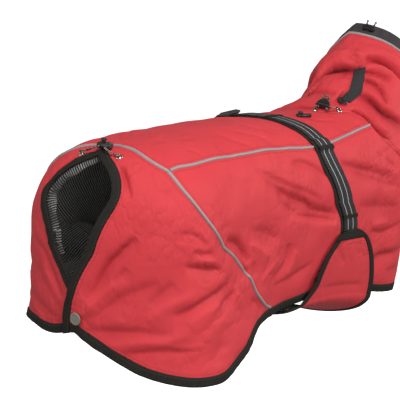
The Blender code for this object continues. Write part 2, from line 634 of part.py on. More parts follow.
# ---- collar -----------------------------------------------------------------------------------
RIM_TOP = np.array([0.285, 0.0, 0.095])
RIM_DOWN = np.array([0.786, 0.0, -0.618])      # from the rim's back to its front
RIM_AXIS = np.array([0.618, 0.0, 0.786])
RIM_LONG, RIM_HALF_WIDTH = 0.136, 0.068
COLLAR_ROWS = 11
COLLAR_PULL, RIM_PULL = 0.085, 0.055
RIM_SLOUCH = 0.038        # how much lower the rim hangs on the left
SLUMP = np.array([0.0, -0.014, -0.004])        # how the lower left side sinks in
SLUMP_END = 0.72          # share of the way up above which it doesn't
BAND_WIDTH = 0.022
COLLAR_BULGE = 0.009
DEGREE, RISE = 0.00125, 0.13              # metres for a degree round the collar, for its height


def collar_ring():
    """Places of the neck seam all round, from the middle of the back over the right side."""
    back = line_through(NECK_SEAM_BACK, ACROSS_STEPS // 2, RIGHT)
    front = line_through(NECK_SEAM_FRONT, FRONT_STEPS, RIGHT)
    half = np.vstack([back, front[1:]])
    sides = np.concatenate([np.full(len(half), RIGHT), np.full(len(half) - 2, LEFT)])
    return np.vstack([half, half[-2:0:-1]]), sides


def collar_points():
    """Rings from the neck seam, first along the coat's own slope and then up to the rim."""
    line, sides = collar_ring()
    seam, n = coat(line[:, 0], line[:, 1], sides)
    way = unit(np.cross(n, unit(np.roll(seam, -1, 0) - np.roll(seam, 1, 0))))
    way *= np.sign(way @ np.array([0.7, 0, 0.7]))[:, None]
    run = np.linalg.norm(np.roll(seam, -1, 0) - seam, axis=1)
    turn = 2 * np.pi * np.concatenate([[0], np.cumsum(run)[:-1]]) / run.sum()
    half = len(seam) // 2
    turn[half + 1:] = 2 * np.pi - turn[half - 1:0:-1]
    turn[half] = np.pi
    turn = turn[:, None]
    rim = RIM_TOP + RIM_DOWN * RIM_LONG / 2 * (1 - np.cos(turn))
    rim = rim + np.array([0, -1, 0]) * RIM_HALF_WIDTH * np.sin(turn)
    left = np.clip(-np.sin(turn), 0, 1)
    rim[:, 2:] -= RIM_SLOUCH * left
    pull = COLLAR_PULL * (0.65 + 0.35 * np.cos(turn))
    t = np.linspace(0, 1, COLLAR_ROWS + 1)[:, None, None]
    top_way = unit(np.array([0.80, 0, 0.60]))
    rings = (seam * (2 * t**3 - 3 * t**2 + 1) + rim * (3 * t**2 - 2 * t**3)
             + pull * way * (t**3 - 2 * t**2 + t) + RIM_PULL * top_way * (t**3 - t**2))
    rings = rings + SLUMP * left**0.5 * np.sin(np.pi * np.clip(t / SLUMP_END, 0, 1)) ** 1.5
    return np.swapaxes(rings, 0, 1), turn[:, 0]


def ring_normals(points):
    """Outward normals of a tube whose first index runs round it."""
    round_it = np.roll(points, -1, 0) - np.roll(points, 1, 0)
    n = unit(np.cross(round_it, np.gradient(points, axis=1)))
    out = points - points.mean(axis=0, keepdims=True)
    return n * np.sign((n * out).sum(-1, keepdims=True))


def collar_halves(points, n):
    """The collar is sewn from a right and a left half, with seams over the spine and the throat."""
    middle = len(points) // 2
    ring, ring_n = np.concatenate([points, points[:1]]), np.concatenate([n, n[:1]])
    for word, stretch in (("right", slice(0, middle + 1)), ("left", slice(middle, None))):
        half, half_n = ring[stretch].copy(), ring_n[stretch]
        for end, inner in ((0, 1), (-1, -2)):
            half[end] += unit(half[inner] - half[end]) * HALF_GAP
        wall(f"collar_shell_{word}", half, half_n, shell_cloth())


def collar():
    points, turn = collar_points()
    n = ring_normals(points)
    around = np.degrees(turn)
    level = np.linspace(0, 1, COLLAR_ROWS + 1)
    around, level = np.broadcast_arrays(around[:, None], level[None])
    here = np.stack([around * DEGREE, level * RISE], -1)
    out = np.zeros(around.shape)
    for a0, b0, a1, b1, a2, b2, half_width, height in COLLAR_FOLDS:
        rows = smooth(np.array([0, 0.5, 1.0]), [(a0, b0), (a1, b1), (a2, b2)],
                      np.linspace(0, 1, 13))
        for wrap in (-360, 0, 360):
            out += bell(here, (rows + (wrap, 0)) * (DEGREE, RISE), half_width, height)
    out *= ease(level / 0.12) * ease((1 - level) / 0.15)
    out += COLLAR_BULGE * np.sin(np.pi * level) * np.sin(np.radians(around)) ** 2
    points = points + n * out[..., None]
    n = ring_normals(points)
    collar_halves(points, n)
    rim, rim_n = points[:, -1], n[:, -1]
    centre = rim.mean(axis=0)
    rises = np.array([0.0010, 0.0085, 0.0155, BAND_WIDTH]) / BAND_WIDTH
    pulls = np.array([0.0, 0.02, 0.05, 0.10])
    grid = np.stack([rim + RIM_AXIS * BAND_WIDTH * r - (rim - centre) * p
                     for r, p in zip(rises, pulls)], 1)
    wall("collar_band", grid, ring_normals(grid), material("dark_grey_band", DARK_GREY, 0.6), closed=True)
    low = points[:, -1] + (points[:, -2] - points[:, -1]) * 0.22
    across = unit(points[:, -2] - points[:, -1])
    w = PIPING_WIDTH / 2
    profile = np.array([(-w, 0), (-0.6 * w, PIPING_HIGH), (0.6 * w, PIPING_HIGH), (w, 0)])
    profile[:, 1] += CLOTH / 2 + SEAM_GAP
    grey = material("reflective_piping", PIPING_GREY, 0.4)
    sweep("collar_piping", low, across, rim_n, profile, grey, closed=True)
    return points, n, grid


# ---- belt -------------------------------------------------------------------------------------
BELT_LEFT = [(0.432, 0.0), (0.438, 0.150), (0.444, 0.300), (0.450, 0.460), (0.460, 0.700),
             (0.472, 1.100), (0.480, 1.550), (0.482, 1.960)]
BELT_SLANT = 0.9          # cosine of the belt's usual slant, which widens it along the outline
BUCKLE_FROM, BUCKLE_TO = 0.215, 0.460     # drops on the left between which the buckle lies
UNDERLAY_SHIFT = -0.0060                  # the wider tape under the belt shows behind it
LOOP_DROPS = (0.115, 0.600, 1.165)
UNDERLAY_THICK = 0.0008
UNDERLAY_LIFT = CLOTH / 2 + SEAM_GAP + UNDERLAY_THICK / 2
BELT_LIFT = UNDERLAY_LIFT + UNDERLAY_THICK / 2 + SEAM_GAP + BELT_THICK / 2
LOOP_WIDTH, LOOP_THICK = 0.033, 0.0008
LOOP_LIFT = BELT_LIFT + BELT_THICK / 2 + SEAM_GAP + LOOP_THICK / 2
BUCKLE_LIFT = 0.0056                      # of the middle of its housing
PIPING_CROSSING = 0.568                   # drop at which the belt goes over the back seam
HUMP_LENGTH = 0.035                       # in drop, of the rise to the top of that crossing


def belt_middle():
    """The belt's centre line from the flap on the right, over the back, to the left hem, as
    (along, drop, side) every few millimetres."""
    right = line_through(BELT_RIGHT, 60, RIGHT)[::-1]
    left = line_through(BELT_LEFT, 80, LEFT)[1:]
    sides = np.concatenate([np.full(len(right), RIGHT), np.full(len(left), LEFT)])
    return np.vstack([right, left]), sides


def tape(name, middle, sides, width, thick, lift, made_of, shift=0.0):
    """A flat tape along a line over the back, humped where it goes over the back seams. It runs
    across the body, so its edges are the line moved along it."""
    offsets = (shift + width * np.linspace(-0.5, 0.5, 4)) / BELT_SLANT
    along = middle[:, :1] + offsets
    drop = np.broadcast_to(np.clip(middle[:, 1:], 0.0, None), along.shape)
    hump = (PIPING_HIGH + 2 * SEAM_GAP) * ease(2.2 - np.abs(drop - PIPING_CROSSING) / HUMP_LENGTH)
    points, n = coat(along, drop, sides[:, None], lift + hump)
    wall(name, points, n, made_of, thick)


def belt():
    middle, sides = belt_middle()
    past = (sides == LEFT) & (middle[:, 1] > BUCKLE_FROM)
    before = (sides == LEFT) & (middle[:, 1] > BUCKLE_TO)
    first, last = int(np.argmax(past)), int(np.argmax(before))
    buckle(first, last)
    over_back = slice(0, first, 2)
    down_left = slice(last, len(middle), 3)
    tape("belt_over_back", middle[over_back], sides[over_back], BELT_WIDTH, BELT_THICK, BELT_LIFT,
         webbing())
    tape("belt_left", middle[down_left], sides[down_left], BELT_WIDTH, BELT_THICK, BELT_LIFT,
         webbing())
    tape("belt_underlay", middle[0:first:2], sides[0:first:2], BELT_WIDTH, UNDERLAY_THICK,
         UNDERLAY_LIFT, binding_tape(), UNDERLAY_SHIFT)
    for index, drop in enumerate(LOOP_DROPS, 1):
        at = int(np.argmin(np.abs(np.where(sides == RIGHT, middle[:, 1], 9) - drop)))
        stretch = slice(at - 2, at + 2)
        tape(f"belt_loop_{index}", middle[stretch], sides[stretch], LOOP_WIDTH, LOOP_THICK, LOOP_LIFT,
             webbing())


# ---- hard pieces ------------------------------------------------------------------------------


def frame(point, out, forward):
    """Matrix whose Z is the way out of the cloth and whose X is nearest to 'forward'."""
    z = Vector([float(c) for c in out]).normalized()
    x = Vector([float(c) for c in forward])
    x = (x - z * x.dot(z)).normalized()
    y = z.cross(x)
    turn = Matrix((x, y, z)).transposed().to_4x4()
    return Matrix.Translation(Vector([float(c) for c in point])) @ turn


def block(name, size, at, made_of, rounding=0.0012, taper=1.0, centre=(0, 0, 0), segments=2):
    """A box with rounded edges, its far end in X narrower by the taper."""
    work = bmesh.new()
    bmesh.ops.create_cube(work, size=1.0)
    for v in work.verts:
        narrow = taper if v.co.x > 0 else 1.0
        v.co = Vector((v.co.x * size[0] + centre[0], v.co.y * size[1] * narrow + centre[1],
                       v.co.z * size[2] + centre[2]))
    bmesh.ops.bevel(work, geom=work.edges[:], offset=rounding, segments=segments, profile=0.5,
                    affect="EDGES")
    bmesh.ops.triangulate(work, faces=work.faces[:])
    bmesh.ops.recalc_face_normals(work, faces=work.faces[:])
    bmesh.ops.transform(work, matrix=at, verts=work.verts[:])
    mesh = bpy.data.meshes.new(name)
    work.to_mesh(mesh)
    work.free()
    mesh.materials.append(made_of)
    thing = bpy.data.objects.new(name, mesh)
    bpy.context.scene.collection.objects.link(thing)
    return thing


def turned(name, outline, at, made_of, sides=20):
    """A body of revolution about Z from rows of (radius, height); the first and last row may
    stand on the axis, otherwise the outline closes on itself and leaves a hole."""
    angles = np.linspace(0, 2 * np.pi, sides, endpoint=False)
    verts, rings = [], []
    for radius, height in outline:
        if radius < 1e-6:
            rings.append([len(verts)] * sides)
            verts.append((0.0, 0.0, height))
        else:
            rings.append(list(range(len(verts), len(verts) + sides)))
            verts += [(radius * np.cos(a), radius * np.sin(a), height) for a in angles]
    holed = outline[0][0] > 1e-6
    pairs = list(zip(rings, rings[1:] + rings[:1])) if holed else list(zip(rings[:-1], rings[1:]))
    faces = []
    for low, high in pairs:
        for k in range(sides):
            j = (k + 1) % sides
            face = [low[k], low[j], high[j], high[k]]
            faces.append(tuple(dict.fromkeys(face)))
    points = [at @ Vector([float(c) for c in v]) for v in verts]
    return solid(name, points, faces, made_of)


def cord(name, points, made_of, radius=CORD_RADIUS):
    """A round cord through the points, with filled ends."""
    fine = np.asarray(points, float)
    knots = np.concatenate([[0], np.cumsum(np.linalg.norm(np.diff(fine, axis=0), axis=1))])
    count = max(3, int(round(knots[-1] / (radius * 5.5))))
    even = smooth(knots, fine, np.linspace(0, knots[-1], count + 1))
    curve = bpy.data.curves.new(name, "CURVE")
    curve.dimensions = "3D"
    line = curve.splines.new("POLY")
    line.points.add(len(even) - 1)
    for place, p in zip(line.points, even):
        place.co = (*map(float, p), 1.0)
    curve.bevel_depth = radius
    curve.bevel_resolution = 2
    curve.use_fill_caps = True
    thing = bpy.data.objects.new(name, curve)
    bpy.context.scene.collection.objects.link(thing)
    mesh = bpy.data.meshes.new_from_object(thing.evaluated_get(bpy.context.evaluated_depsgraph_get()))
    bpy.data.objects.remove(thing)
    work = bmesh.new()
    work.from_mesh(mesh)
    bmesh.ops.remove_doubles(work, verts=work.verts[:], dist=0.00005)
    bmesh.ops.triangulate(work, faces=work.faces[:])
    bmesh.ops.recalc_face_normals(work, faces=work.faces[:])
    work.to_mesh(mesh)
    work.free()
    mesh.name = name
    mesh.materials.clear()
    mesh.materials.append(made_of)
    thing = bpy.data.objects.new(name, mesh)
    bpy.context.scene.collection.objects.link(thing)
    return thing


# ---- places on the collar ----------------------------------------------------------------------


class Ring:
    """A closed grid whose first index runs round it; finds points, normals and the way up."""

    def __init__(self, points, n, turn):
        self.points = np.concatenate([points, points[:1]])
        self.n = np.concatenate([n, n[:1]])
        self.turn = np.degrees(np.append(turn, 2 * np.pi))

    def at(self, turn, level, lift=0.0):
        i = np.interp(np.mod(turn, 360), self.turn, np.arange(len(self.turn)))
        j = np.clip(level, 0, 1) * (self.points.shape[1] - 1)
        i0 = np.minimum(i.astype(int), len(self.turn) - 2)
        j0 = np.minimum(j.astype(int), self.points.shape[1] - 2)
        fi, fj = (i - i0)[..., None], (j - j0)[..., None]

        def mix(grid):
            return ((grid[i0, j0] * (1 - fi) + grid[i0 + 1, j0] * fi) * (1 - fj)
                    + (grid[i0, j0 + 1] * (1 - fi) + grid[i0 + 1, j0 + 1] * fi) * fj)

        n = unit(mix(self.n))
        return mix(self.points) + n * lift, n

    def frame(self, turn, level, lift):
        """Matrix with X up the collar and Z out of it."""
        here, n = self.at(np.array([turn]), np.array([level]), lift)
        up = self.at(np.array([turn]), np.array([level + 0.05]))[0] - here
        return frame(here[0], n[0], up[0])


# degrees round the collar from the middle of the back towards the right side, share of the way up
STRAP_ROWS = [(35.9, 0.590), (38.8, 0.500), (40.3, 0.420), (41.7, 0.340), (40.3, 0.260), (37.4, 0.190)]
STRAP_WIDTH, STRAP_THICK = 0.012, 0.0012
CLIP_PLACE, CLIP_LIFT = (34.8, 0.178), 0.0064        # it lies on the strap's lower end
NECK_LOCK_PLACE = (18.7, 0.125)
NECK_LOCK_SIZE = (0.0126, 0.018, 0.006)
NECK_EYELETS = ((13.0, 0.048), (33.1, 0.048))
RIM_LOCK_PLACE = (21.0, 0.50)
RIM_LOCK_SIZE = (0.0085, 0.0175, 0.006)
TAIL_EYELET = (0.046, 0.369)
TAIL_LOCK = (-0.2635, -0.0028, -0.0020)
TAIL_LOCK_LENGTH, TAIL_LOCK_RADIUS = 0.0185, 0.0040
SNAP = (0.0050, 1.803)
SNAP_RADIUS = 0.0075
SNAP_LIFT = CLOTH / 2 + 3 * SEAM_GAP
LEAD_SLIDER = (0.497, 0.163)


def eyelet(name, at):
    outline = [(0.0025, 0.0), (0.0040, 0.0), (0.0040, 0.0004), (0.0033, 0.0010), (0.0025, 0.0010)]
    turned(name, outline, at, bright_metal(), 16)


def on_axis(at, x, y, z):
    """World place of a point given in a matrix's own axes."""
    return np.array(at @ Vector((x, y, z)))


def neck_pieces(ring):
    cord_tape = material("speckled_cord", (0.10, 0.085, 0.080), 0.8)
    seat = CLOTH / 2 + 3 * SEAM_GAP
    lock = ring.frame(*NECK_LOCK_PLACE, 0.0075)
    long, wide, high = NECK_LOCK_SIZE
    block("neck_lock", NECK_LOCK_SIZE, lock, hard_plastic(), 0.0014, taper=0.72)
    for index, (word, place, y) in enumerate((("right", NECK_EYELETS[1], -0.0055),
                                              ("left", NECK_EYELETS[0], 0.0055))):
        at = ring.frame(*place, seat)
        eyelet(f"neck_eyelet_{word}", at)
        entry = -long / 2 - 3 * SEAM_GAP
        cord(f"neck_cord_{word}", [on_axis(at, 0, 0, SEAM_GAP), on_axis(at, 0.0003, 0, 0.003),
                                   on_axis(lock, entry - 0.004, y, 0.0004),
                                   on_axis(lock, entry, y, 0)], cord_tape)
    top = long / 2 + SEAM_GAP
    cord("neck_cord_loop", [on_axis(lock, top, 0.0032, 0), on_axis(lock, top + 0.004, 0.0042, 0.0003),
                            on_axis(lock, top + 0.008, 0.0026, 0.0006),
                            on_axis(lock, top + 0.0092, 0, 0.0008),
                            on_axis(lock, top + 0.008, -0.0026, 0.0006),
                            on_axis(lock, top + 0.004, -0.0042, 0.0003),
                            on_axis(lock, top, -0.0032, 0)], cord_tape)
    rows = np.array(STRAP_ROWS)
    knots = np.arange(len(rows), dtype=float)
    line = smooth(knots, rows, np.linspace(0, knots[-1], 15))
    way = unit(np.gradient(line * (DEGREE, RISE), axis=0))
    sideways = np.stack([-way[:, 1] / DEGREE, way[:, 0] / RISE], -1)
    shares = np.linspace(-0.5, 0.5, 4)[None, :, None] * STRAP_WIDTH
    grid = line[:, None] + sideways[:, None] * shares
    points, n = ring.at(grid[..., 0], grid[..., 1], seat + STRAP_THICK / 2 + 0.0008)
    wall("keeper_strap", points, n, webbing(), STRAP_THICK)
    clip = ring.frame(*CLIP_PLACE, CLIP_LIFT)
    block("keeper_clip", (0.0060, 0.0130, 0.0042), clip, hard_plastic(), 0.0010, taper=0.8)


def rim_pieces(band_ring):
    cord_tape = material("speckled_cord", (0.10, 0.085, 0.080), 0.8)
    at = band_ring.frame(*RIM_LOCK_PLACE, 0.0044)
    block("rim_lock", RIM_LOCK_SIZE, at, hard_plastic(), 0.0014, taper=0.9)
    for word, y in (("left", 0.0052), ("right", -0.0052)):
        top = RIM_LOCK_SIZE[0] / 2 + SEAM_GAP
        cord(f"rim_cord_{word}", [on_axis(at, top, y, 0), on_axis(at, top + 0.003, y * 1.02, 0.0002),
                                  on_axis(at, top + 0.0065, y * 1.1, 0.0006)], cord_tape, 0.0010)


def tail_pieces():
    cord_tape = material("speckled_cord", (0.10, 0.085, 0.080), 0.8)
    at = frame(TAIL_LOCK, (0, -1, 0), (0, 0, 1))
    half, r = TAIL_LOCK_LENGTH / 2, TAIL_LOCK_RADIUS
    outline = [(0, -half), (r - 0.0008, -half), (r, -half + 0.0008), (r, half - 0.0034),
               (r - 0.0006, half - 0.0030), (r - 0.0006, half - 0.0022), (r + 0.0004, half - 0.0018),
               (r + 0.0004, half - 0.0005), (r - 0.0004, half), (0, half)]
    turned("tail_lock", outline, at, hard_plastic(), 24)
    knob = frame(np.array(TAIL_LOCK) + (0, 0.0010, r + SEAM_GAP), (0, 0, 1), (1, 0, 0))
    turned("tail_lock_knob", [(0, 0), (0.0026, 0), (0.0032, 0.0006), (0.0032, 0.0026), (0.0026, 0.0034),
                              (0, 0.0036)], knob, hard_plastic(), 16)
    end = np.array(TAIL_LOCK) + (-r - 3 * SEAM_GAP, 0, -0.0005)
    for side, word in ((RIGHT, "right"), (LEFT, "left")):
        points, n = coat(np.array([TAIL_EYELET[0]]), np.array([TAIL_EYELET[1]]), side,
                         CLOTH / 2 + 2 * SEAM_GAP)
        place = frame(points[0], n[0], (1, 0, 0))
        eyelet(f"tail_eyelet_{word}", place)
        along = np.array([0.029, 0.039])
        middle, m = coat(along, np.array([0.352, 0.362]), side, 0.0054)
        start = end + (0, side * (half - 0.0045), 0)
        cord(f"tail_cord_{word}", [on_axis(place, 0, 0, SEAM_GAP), on_axis(place, 0, 0, 0.0036),
                                   middle[1], middle[0], start + (-0.0035, 0, -0.0005), start],
             cord_tape)


def snap():
    points, n = coat(np.array([SNAP[0]]), np.array([SNAP[1]]), RIGHT, SNAP_LIFT)
    at = frame(points[0], n[0], (0, 0, 1))
    r = SNAP_RADIUS
    outline = [(0, 0), (r - 0.0006, 0), (r, 0.0005), (r, 0.0012), (r - 0.0010, 0.0021),
               (r - 0.0022, 0.0019), (0, 0.0022)]
    turned("snap_cap", outline, at, bright_metal(), 28)


def lead_slider():
    points, n = coat(np.array([LEAD_SLIDER[0]]), np.array([LEAD_SLIDER[1]]), RIGHT, 0.0034)
    at = frame(points[0], n[0], (1.0, -0.35, 0))
    block("lead_slider", (0.024, 0.0095, 0.0042), at, hard_plastic(), 0.0014, taper=0.8)
    block("lead_slider_tab", (0.0062, 0.0050, 0.0030), at, hard_plastic(), 0.0009,
          centre=(-0.0060, 0, 0.0021 + SEAM_GAP + 0.0015))


def buckle(first, last):
    """Side-release buckle between two places of the belt: a housing and a tongue pushed in."""
    middle = belt_middle()[0]
    mid = (first + last) // 2
    ends = coat(middle[[first, last], 0], middle[[first, last], 1], LEFT, BUCKLE_LIFT)[0]
    centre, n = coat(middle[[mid], 0], middle[[mid], 1], LEFT, BUCKLE_LIFT)
    at = frame(centre[0], n[0], ends[1] - ends[0])
    reach = float(np.linalg.norm(ends[1] - ends[0])) - 2 * SEAM_GAP
    block("buckle_housing", (reach * 0.60, 0.040, 0.0070), at, hard_plastic(), 0.0020,
          centre=(-reach * 0.19, 0, 0), segments=3)
    block("buckle_tongue", (reach * 0.40 + 0.0005, 0.035, 0.0060), at, hard_plastic(), 0.0018,
          centre=(reach * 0.31 + 0.0004, 0, -0.0006), segments=3)


def main():
    clear_scene()
    back_panel()
    for side, word in ((RIGHT, "right"), (LEFT, "left")):
        hip_hem = hip_panel(side, word)
        side_hem = side_panel(side, word)
        start = tail_binding(side, word)
        hem_binding(side, word, start, hip_hem, side_hem)
        pipings(side, word)
        tail_facing(side, word)
    belly_flap()
    belt()
    points, n, grid = collar()
    turn = collar_points()[1]
    neck_pieces(Ring(points, n, turn))
    rim_pieces(Ring(grid, ring_normals(grid), turn))
    tail_pieces()
    snap()
    lead_slider()


main()
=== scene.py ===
"""Looks of the dog winter coat: fine creased cloth, bound and piped edges, webbing, cords and the
small hard pieces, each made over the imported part's own piece.

Metres, +X to the head, +Y to the wearer's left, +Z up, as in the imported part. A place on the coat
is (along, drop, side): metres along the outline seen from above, from the middle of the rump to the
middle of the chest, then 0 on the spine, 1 at the widest, 2 on the lower edge, on the right or left.
"""
import json

import bpy
import numpy as np
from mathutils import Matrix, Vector

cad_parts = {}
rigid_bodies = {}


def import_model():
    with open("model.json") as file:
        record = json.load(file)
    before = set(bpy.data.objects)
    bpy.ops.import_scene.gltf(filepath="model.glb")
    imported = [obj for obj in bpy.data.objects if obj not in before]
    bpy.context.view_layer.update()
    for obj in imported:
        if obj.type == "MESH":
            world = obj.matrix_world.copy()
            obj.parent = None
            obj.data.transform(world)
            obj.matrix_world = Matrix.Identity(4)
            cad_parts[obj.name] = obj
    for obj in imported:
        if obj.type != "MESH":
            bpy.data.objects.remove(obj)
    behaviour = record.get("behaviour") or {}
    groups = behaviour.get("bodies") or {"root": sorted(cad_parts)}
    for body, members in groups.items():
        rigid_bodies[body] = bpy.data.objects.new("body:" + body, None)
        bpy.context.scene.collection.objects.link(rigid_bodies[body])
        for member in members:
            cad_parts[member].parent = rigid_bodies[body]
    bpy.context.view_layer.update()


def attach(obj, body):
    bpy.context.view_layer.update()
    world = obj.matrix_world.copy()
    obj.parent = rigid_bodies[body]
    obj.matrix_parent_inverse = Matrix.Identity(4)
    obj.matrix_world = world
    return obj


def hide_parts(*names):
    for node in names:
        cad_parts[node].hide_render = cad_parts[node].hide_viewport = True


for thing in list(bpy.data.objects):
    bpy.data.objects.remove(thing)
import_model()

# ---- the view ---------------------------------------------------------------------------------
# A long lens from behind the right hip, a little above the back. The collar's front runs out of
# the picture on the right, as in the photograph.
VIEW_TURN, VIEW_RISE = np.radians(-54.0), np.radians(10.5)
VIEW_FROM = Vector((-1.4576, -1.0024, 0.2235))
LENS_IN_FRAMES = 3.5
SENSOR = 36.0


def view_back():
    """The way from the coat back to the camera."""
    flat = np.cos(VIEW_RISE)
    return Vector((np.sin(VIEW_TURN) * flat, -np.cos(VIEW_TURN) * flat, np.sin(VIEW_RISE)))


camera = bpy.data.objects.new("camera", bpy.data.cameras.new("camera"))
bpy.context.scene.collection.objects.link(camera)
camera.data.sensor_width = SENSOR
camera.data.lens = LENS_IN_FRAMES * SENSOR
camera.data.clip_end = 100.0
camera.location = VIEW_FROM
camera.rotation_mode = "QUATERNION"
camera.rotation_quaternion = (-view_back()).to_track_quat("-Z", "Y")
bpy.context.scene.camera = camera
bpy.context.scene.view_settings.view_transform = "Standard"

# ---- studio -----------------------------------------------------------------------------------
# Pale paper that runs down a wall and over the floor, well below the coat, which its wearer would
# hold up. Four large soft lights: high over the rump, low from the camera, from the rear left, and
# from the head's right.
FLOOR_HEIGHT = -0.62
FLOOR_REACH, FLOOR_HALF_WIDTH = 6.0, 6.0
WALL_HEIGHT = 3.2
PAPER_BEND = 1.0


def paper():
    """A profile of (distance, height) with a round bend, carried sideways."""
    bend = np.linspace(0, np.pi / 2, 13)
    distance = np.concatenate([[-FLOOR_REACH], FLOOR_REACH - PAPER_BEND + PAPER_BEND * np.sin(bend),
                               [FLOOR_REACH]])
    height = np.concatenate([[0.0], PAPER_BEND * (1 - np.cos(bend)), [WALL_HEIGHT]]) + FLOOR_HEIGHT
    ahead = np.array([-np.sin(VIEW_TURN), np.cos(VIEW_TURN), 0])
    sideways = np.array([ahead[1], -ahead[0], 0])
    rows = ahead * distance[:, None] + np.array([0, 0, 1]) * height[:, None]
    verts = np.concatenate([rows + sideways * FLOOR_HALF_WIDTH, rows - sideways * FLOOR_HALF_WIDTH])
    count = len(rows)
    faces = [(k, k + 1, k + 1 + count, k + count) for k in range(count - 1)]
    mesh = bpy.data.meshes.new("paper")
    mesh.from_pydata(verts.tolist(), [], faces)
    mesh.shade_smooth()
    made = bpy.data.materials.new("paper")
    made.use_nodes = True
    shader = made.node_tree.nodes["Principled BSDF"]
    shader.inputs["Base Color"].default_value = (0.93, 0.93, 0.93, 1)
    shader.inputs["Roughness"].default_value = 0.9
    shader.inputs["Emission Color"].default_value = (1, 1, 1, 1)
    shader.inputs["Emission Strength"].default_value = 0.9
    mesh.materials.append(made)
    sheet = bpy.data.objects.new("paper", mesh)
    sheet.visible_diffuse = sheet.visible_glossy = False
    bpy.context.scene.collection.objects.link(sheet)
    return sheet


def soft_light(name, place, size, power):
    """A square lamp that looks at the coat."""
    lamp = bpy.data.lights.new(name, "AREA")
    lamp.shape = "RECTANGLE"
    lamp.size = lamp.size_y = size
    lamp.energy = power
    thing = bpy.data.objects.new(name, lamp)
    thing.location = place
    thing.rotation_mode = "QUATERNION"
    thing.rotation_quaternion = (Vector((0, 0, -0.1)) - Vector(place)).to_track_quat("-Z", "Y")
    bpy.context.scene.collection.objects.link(thing)


paper()
for name, place, size, power in (("key", (-0.9, -0.9, 1.6), 0.5, 29.0),
                                 ("fill", (-1.3, -1.8, 0.3), 1.2, 16.0),
                                 ("rear_side", (-2.0, 0.9, 0.2), 1.0, 11.0),
                                 ("head_side", (1.5, -1.8, 0.6), 1.0, 26.0)):
    soft_light(name, place, size, power)
world = bpy.data.worlds.new("studio")
world.use_nodes = True
world.node_tree.nodes["Background"].inputs["Color"].default_value = (1.0, 1.0, 1.0, 1)
world.node_tree.nodes["Background"].inputs["Strength"].default_value = 0.26
bpy.context.scene.world = world

# ---- back panel -------------------------------------------------------------------------------
# Padded outer cloth with a grey lining, cut from the neck seam to the tail between the two back
# seams. Its surface is the whole coat's: a superellipse section that changes along the outline,
# with the creases of a coat that is worn over it.
RIGHT, LEFT = -1, 1
SIDES = ((RIGHT, "right"), (LEFT, "left"))
CLOTH, SEAM_GAP = 0.0016, 0.0003
FAN_RADIUS, ROUNDNESS = 0.120, 2.5
LAP_RIGHT, LAP_LEFT = 0.0028, -0.0016
# where each section stands, degrees it is turned from straight sideways, half width, heights of the
# spine and the widest place, heights of the right and left lower edge, half width there
SECTIONS = np.array([
    (-0.200, -90, 0.118, 0.001, -0.110, -0.207, -0.207, 0.114),
    (-0.200, -70, 0.118, 0.001, -0.112, -0.229, -0.216, 0.117),
    (-0.200, -50, 0.123, 0.001, -0.115, -0.249, -0.213, 0.126),
    (-0.200, -30, 0.126, 0.001, -0.118, -0.262, -0.216, 0.134),
    (-0.200, -12, 0.122, 0.001, -0.118, -0.268, -0.227, 0.132),
    (-0.200,   0, 0.119, 0.002, -0.116, -0.266, -0.233, 0.129),
    (-0.150,   0, 0.112, 0.003, -0.112, -0.252, -0.234, 0.120),
    (-0.110,   0, 0.108, 0.003, -0.110, -0.232, -0.228, 0.109),
    (-0.050,   0, 0.104, 0.0028, -0.110, -0.229, -0.224, 0.092),
    ( 0.050,   0, 0.100, -0.0012, -0.110, -0.231, -0.226, 0.085),
    ( 0.130,   0, 0.100, -0.003, -0.112, -0.239, -0.236, 0.085),
    ( 0.200,   0, 0.102, 0.003, -0.115, -0.253, -0.253, 0.087),
    ( 0.235,   0, 0.104, 0.006, -0.118, -0.260, -0.260, 0.089),
    ( 0.235,  30, 0.107, 0.006, -0.120, -0.266, -0.266, 0.092),
    ( 0.235,  60, 0.107, 0.006, -0.122, -0.272, -0.272, 0.092),
    ( 0.235,  90, 0.105, 0.006, -0.124, -0.273, -0.273, 0.090),
])
AXIS_X, TURN, SHAPE = SECTIONS[:, 0], np.radians(SECTIONS[:, 1]), SECTIONS[:, 2:]
KNOTS = np.concatenate([[0.0], np.cumsum(np.abs(np.diff(AXIS_X)) + FAN_RADIUS * np.diff(TURN))])
GIRTH = KNOTS[-1]
CHEST_END = GIRTH - 0.0002         # where both side panels stop, just short of the middle
REAR_AXIS = AXIS_X[0]
